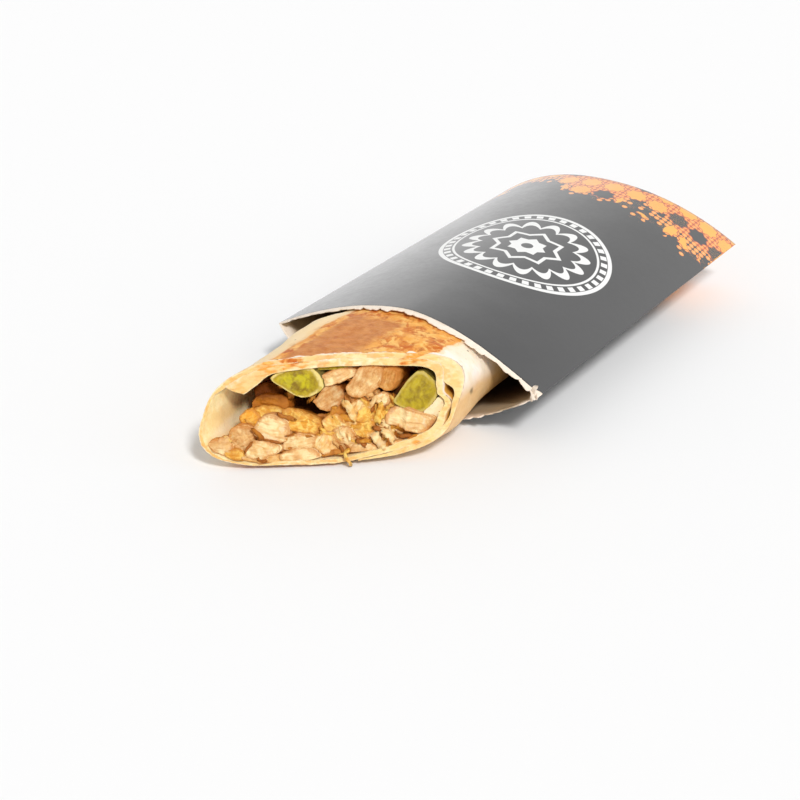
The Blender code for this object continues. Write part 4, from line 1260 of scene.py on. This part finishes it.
def make_heap(meat):
    """Heap behind the pieces."""
    heap = Shape(*MEAT)
    angles = np.linspace(0, 360, 181)[:-1]
    inset = heap_inset(angles) + 0.5
    share = np.linspace(0, 1, 60)
    x, z = section(angles[:, None], inset[:, None], np.full((180, 60), CUT_FRONT), share[None])
    along, up = place_on_cut(x, z)
    spots = np.stack([x, z, 0 * x], -1)
    low = np.maximum(smooth(-1, -6, up), smooth(-22, -26, along) * smooth(2, -2, up))
    depth = recess(along, up) + 1.5 - 3.0 * low + 1.3 * noise.rough(spots, 4.5, 5, 0.6)
    y = np.minimum(cut_y(x, z) + depth, SQUEEZE_START - 1.0 + 0 * x)
    front = np.stack([x, y, z], -1)
    tail, scales = tail_rows(5)
    stations = np.concatenate([[SQUEEZE_START, 0.0, 40.0, TAIL_START], tail[:-1] - 1.0])
    scale = np.concatenate([np.ones(4), scales[:-1]])
    x, z = section(angles[:, None], inset[:, None], stations[None] + 0 * inset[:, None], scale[None])
    sides = np.stack([x, stations[None] + 0 * x, z], -1)
    centre = sides[:, -1:].mean(0, keepdims=True) + 0 * sides[:, -1:]
    points = np.concatenate([front, sides, centre], axis=1)
    near = np.concatenate([low, 0 * sides[..., 0], 0 * centre[..., 0]], axis=1)
    # Coloured dark brown as painted shade, paler and more golden low down
    heap.grid(points, across=True, tone=1 - 0.4 * near, gold=0.3 + 0.5 * near, rim=0.8)
    heap.build("filling_heap", [meat], "chicken", "chicken_filling")


def roast_meat():
    """Moist roast chicken: pale cut fibres, browned and spiced outsides, and painted shade behind the
    cut and between the pieces.
    """
    g = Graph("roast_meat")
    tone, gold, front, rim, fibre = (g.attribute(name) for name in MEAT)
    deep = g.behind_cut()
    broad, fine = g.noise(3.4), g.noise(0.6, 5.0, 0.65)
    tanned = g.ramp(g.noise(6.0, 2.0), 0.48, 0.6) * g.ramp(tone, 0.05, 0.2, 0.1, 0.6)
    pale = g.coats(
        g.between(broad, 0.35, 0.65, (252, 228, 172), (232, 182, 112)),
        (tanned, (220, 160, 94)),
        (g.ramp(g.noise(3.4, 1.5), 0.54, 0.7) * 0.6, (255, 243, 208)),
    )
    yellow = g.between(g.noise(1.7, warp=0.6), 0.38, 0.62, (246, 204, 104), (226, 158, 54))
    tan = g.between(g.noise(2.0, warp=0.8), 0.4, 0.62, (226, 176, 110), (204, 144, 78))
    brown = tone + (broad - 0.5) * (tone + 0.2)
    spice = g.ramp(tone * 0.8 + g.noise(1.5, 5.0, 0.64), 0.8, 1.05)
    grooves = g.ramp(fibre, -1.0, 0.15, 0.65, 0.0)
    ringed = g.ramp(rim + (fine - 0.5) * 0.5 + (broad - 0.5) * 0.3, 0.7, 1.0) * g.ramp(front, 0.6, 0.9)
    high = g.ramp(g.distance(0, 0, 1) + (broad - 0.5) * 3, CREASE_Z + 0.2, CREASE_Z + 3.2)
    base = g.coats(
        pale,
        (g.ramp(gold + (broad - 0.5) * 0.9, 0.3, 0.8), yellow),
        (g.ramp(gold, 1.0, 1.3) * 0.7, (244, 160, 40)),
        (g.ramp(brown, 0.15, 0.6), g.between(gold, 0.3, 0.9, tan, (206, 136, 44))),
        (g.ramp(brown, 0.55, 0.9) * 0.9, (134, 74, 22)),
        (spice * 0.5, (176, 98, 26)),
        (grooves * front, (196, 126, 58)),
        # Painted shade round the rims of the piece faces, where pieces meet
        (ringed * 0.7, (198, 124, 54)),
        # Sides of the pieces browner: juices, and painted shade between the pieces
        (g.ramp(front, 0.0, 0.3, 0.7, 0.0), (190, 114, 44)),
        # White sauce
        (g.ramp(gold, -0.7, -0.4, 1.0, 0.0), (246, 222, 178)),
        # Painted shade: darker the further behind the cut, darkest on the heap
        (g.ramp(deep + (broad - 0.5) * 3, 1.8, 5.6) * (1 - front * 0.75) * 0.85, (158, 86, 24)),
        (g.ramp(deep + (broad - 0.5) * 2, 6.5, 11.0) * 0.9, (62, 30, 8)),
        (g.ramp(tone, 0.98, 1.0) * g.ramp(deep, 3.0, 7.0), (62, 30, 8)),
        # Painted shade high up in the hollows, under the bread's top
        (high * g.ramp(deep, 3.8, 6.2) * 0.9, (104, 50, 8)),
    )
    rough = g.ramp(g.noise(1.2, 3.0), 0.35, 0.65, 0.34, 0.56)
    relief = g.bump(fine, 0.14)
    relief = g.bump(g.noise(1.3, 4.0, 0.6), 0.3, relief)
    return g.finish(
        Base_Color=base, Roughness=rough, Normal=relief, IOR=1.42,
        Specular_IOR_Level=g.ramp(deep, 2.5, 7.0, 0.25, 0.05),
        Subsurface_Weight=0.06, Subsurface_Radius=(1.0, 0.6, 0.3), Subsurface_Scale=0.0012,
    )


def make_pickles():
    flesh = pickled_cucumber()
    for name, (behind, length, *corners) in PICKLES.items():
        piece = Shape(*MEAT)
        seedy = 1.0 if name == "pickle_left" else 0.3
        row = (behind, length, seedy, 0.0, 55, *corners)
        cut_block(piece, row, ragged=0.25, relief=0.35, bevel=0.35, skirt=0.0)
        piece.build("cut_" + name, [flesh], "pickle", name)


def pickled_cucumber():
    """Pickled cucumber: olive skin, paler flesh and a wet seedy middle."""
    g = Graph("pickled_cucumber")
    seedy, rim, front = g.attribute("tone"), g.attribute("rim"), g.attribute("front")
    cloud, fine = g.noise(2.6, 3.0, warp=0.5), g.noise(0.8, 4.0)
    streak = g.noise(1.6, 4.0, at=g.stretched(1.0, 1.0, 0.3))
    seeds = g.between(cloud, 0.32, 0.68, (196, 180, 26), (134, 106, 20))
    pale = g.ramp(rim + (cloud - 0.5) * 0.3, 0.8, 0.96) * (seedy * 0.7 + 0.3)
    base = g.coats(
        g.between(cloud * 0.5 + streak * 0.5, 0.3, 0.7, (194, 166, 40), (142, 116, 14)),
        (seedy * g.ramp(rim, 0.5, 0.85, 1.0, 0.0), seeds),
        (g.ramp(fine, 0.52, 0.75) * 0.25, (206, 184, 80)),
        (pale * g.ramp(streak, 0.36, 0.54, 0.35, 1.0), (228, 206, 128)),
        ((1 - front) * 0.85, g.between(g.noise(1.4), 0.4, 0.6, (66, 54, 12), (98, 82, 20))),
    )
    return g.finish(
        Base_Color=base, Roughness=0.4, Normal=g.bump(fine, 0.12), IOR=1.38, Specular_IOR_Level=0.25,
        Subsurface_Weight=0.1, Subsurface_Radius=(1.5, 1.3, 0.4), Subsurface_Scale=0.0015,
    )


# Stage


FLOOR_SIZE = 3.0  # each way, in metres
WALL_LIGHT = (0.45, 0.85, 0.92, 0.5)  # heights, and strengths at them
BACK_LIGHT = (-0.5, 0.5, 0.62, 1.12)  # depths, and strengths at them
SUN_STRENGTH = 2.1
SUN_WIDTH = math.radians(12)
SUN_WAY = (-0.52, 0.40, -0.755)
LENS = 90.242
CAMERA_RIGHT = (0.858099, 0.511846, 0.040976)
CAMERA_UP = (-0.255732, 0.356800, 0.898496)
CAMERA_PLACE = (298.401, -525.268, 278.474)  # in the sleeve's frame


def make_stage():
    """A pale floor and walls of light, and a soft sun."""
    mesh = bpy.data.meshes.new("floor")
    corners = [(x * FLOOR_SIZE, y * FLOOR_SIZE, 0) for x, y in ((-1, -1), (1, -1), (1, 1), (-1, 1))]
    mesh.from_pydata(corners, [], [(0, 1, 2, 3)])
    floor = bpy.data.objects.new("floor", mesh)
    bpy.context.scene.collection.objects.link(floor)
    g = Graph("pale_floor")
    mesh.materials.append(g.finish(Base_Color=(0.9, 0.9, 0.9, 1), Roughness=0.8))
    world = bpy.data.worlds.new("studio")
    world.use_nodes = True
    tree = world.node_tree
    # Bright low walls, brighter behind the part, under a dimmer ceiling
    where = tree.nodes.new("ShaderNodeTexCoord").outputs["Generated"]
    parts = tree.nodes.new("ShaderNodeSeparateXYZ")
    tree.links.new(where, parts.inputs[0])
    both = tree.nodes.new("ShaderNodeMath")
    both.operation = "MULTIPLY"
    for (socket, numbers), factor in zip((("Z", WALL_LIGHT), ("Y", BACK_LIGHT)), both.inputs):
        node = tree.nodes.new("ShaderNodeMapRange")
        node.interpolation_type = "SMOOTHSTEP"
        tree.links.new(parts.outputs[socket], node.inputs["Value"])
        for key, number in zip(RANGE_ENDS, numbers):
            node.inputs[key].default_value = number
        tree.links.new(node.outputs["Result"], factor)
    tree.links.new(both.outputs[0], tree.nodes["Background"].inputs["Strength"])
    tree.nodes["Background"].inputs["Color"].default_value = (1, 1, 1, 1)
    bpy.context.scene.world = world
    light = bpy.data.lights.new("key_light", "SUN")
    light.angle = SUN_WIDTH
    light.energy = SUN_STRENGTH
    lamp = bpy.data.objects.new("key_light", light)
    lamp.rotation_euler = Vector(SUN_WAY).to_track_quat("-Z", "Y").to_euler()
    bpy.context.scene.collection.objects.link(lamp)
    bpy.context.scene.view_settings.view_transform = "Standard"


def make_camera():
    """The photograph's view, solved from the sleeve's creases, mouth and end."""
    data = bpy.data.cameras.new("camera")
    data.sensor_width = 36.0
    data.lens = LENS
    data.clip_start, data.clip_end = 0.01, 10
    camera = bpy.data.objects.new("camera", data)
    right, up = Vector(CAMERA_RIGHT), Vector(CAMERA_UP)
    spot = place(np.array(CAMERA_PLACE))
    turn = Matrix((right, up, right.cross(up))).transposed().to_4x4()
    camera.matrix_world = Matrix.Translation(spot) @ turn
    bpy.context.scene.collection.objects.link(camera)
    bpy.context.scene.camera = camera


make_stage()
make_camera()
make_sleeve()
make_bread()
make_filling()
make_pickles()
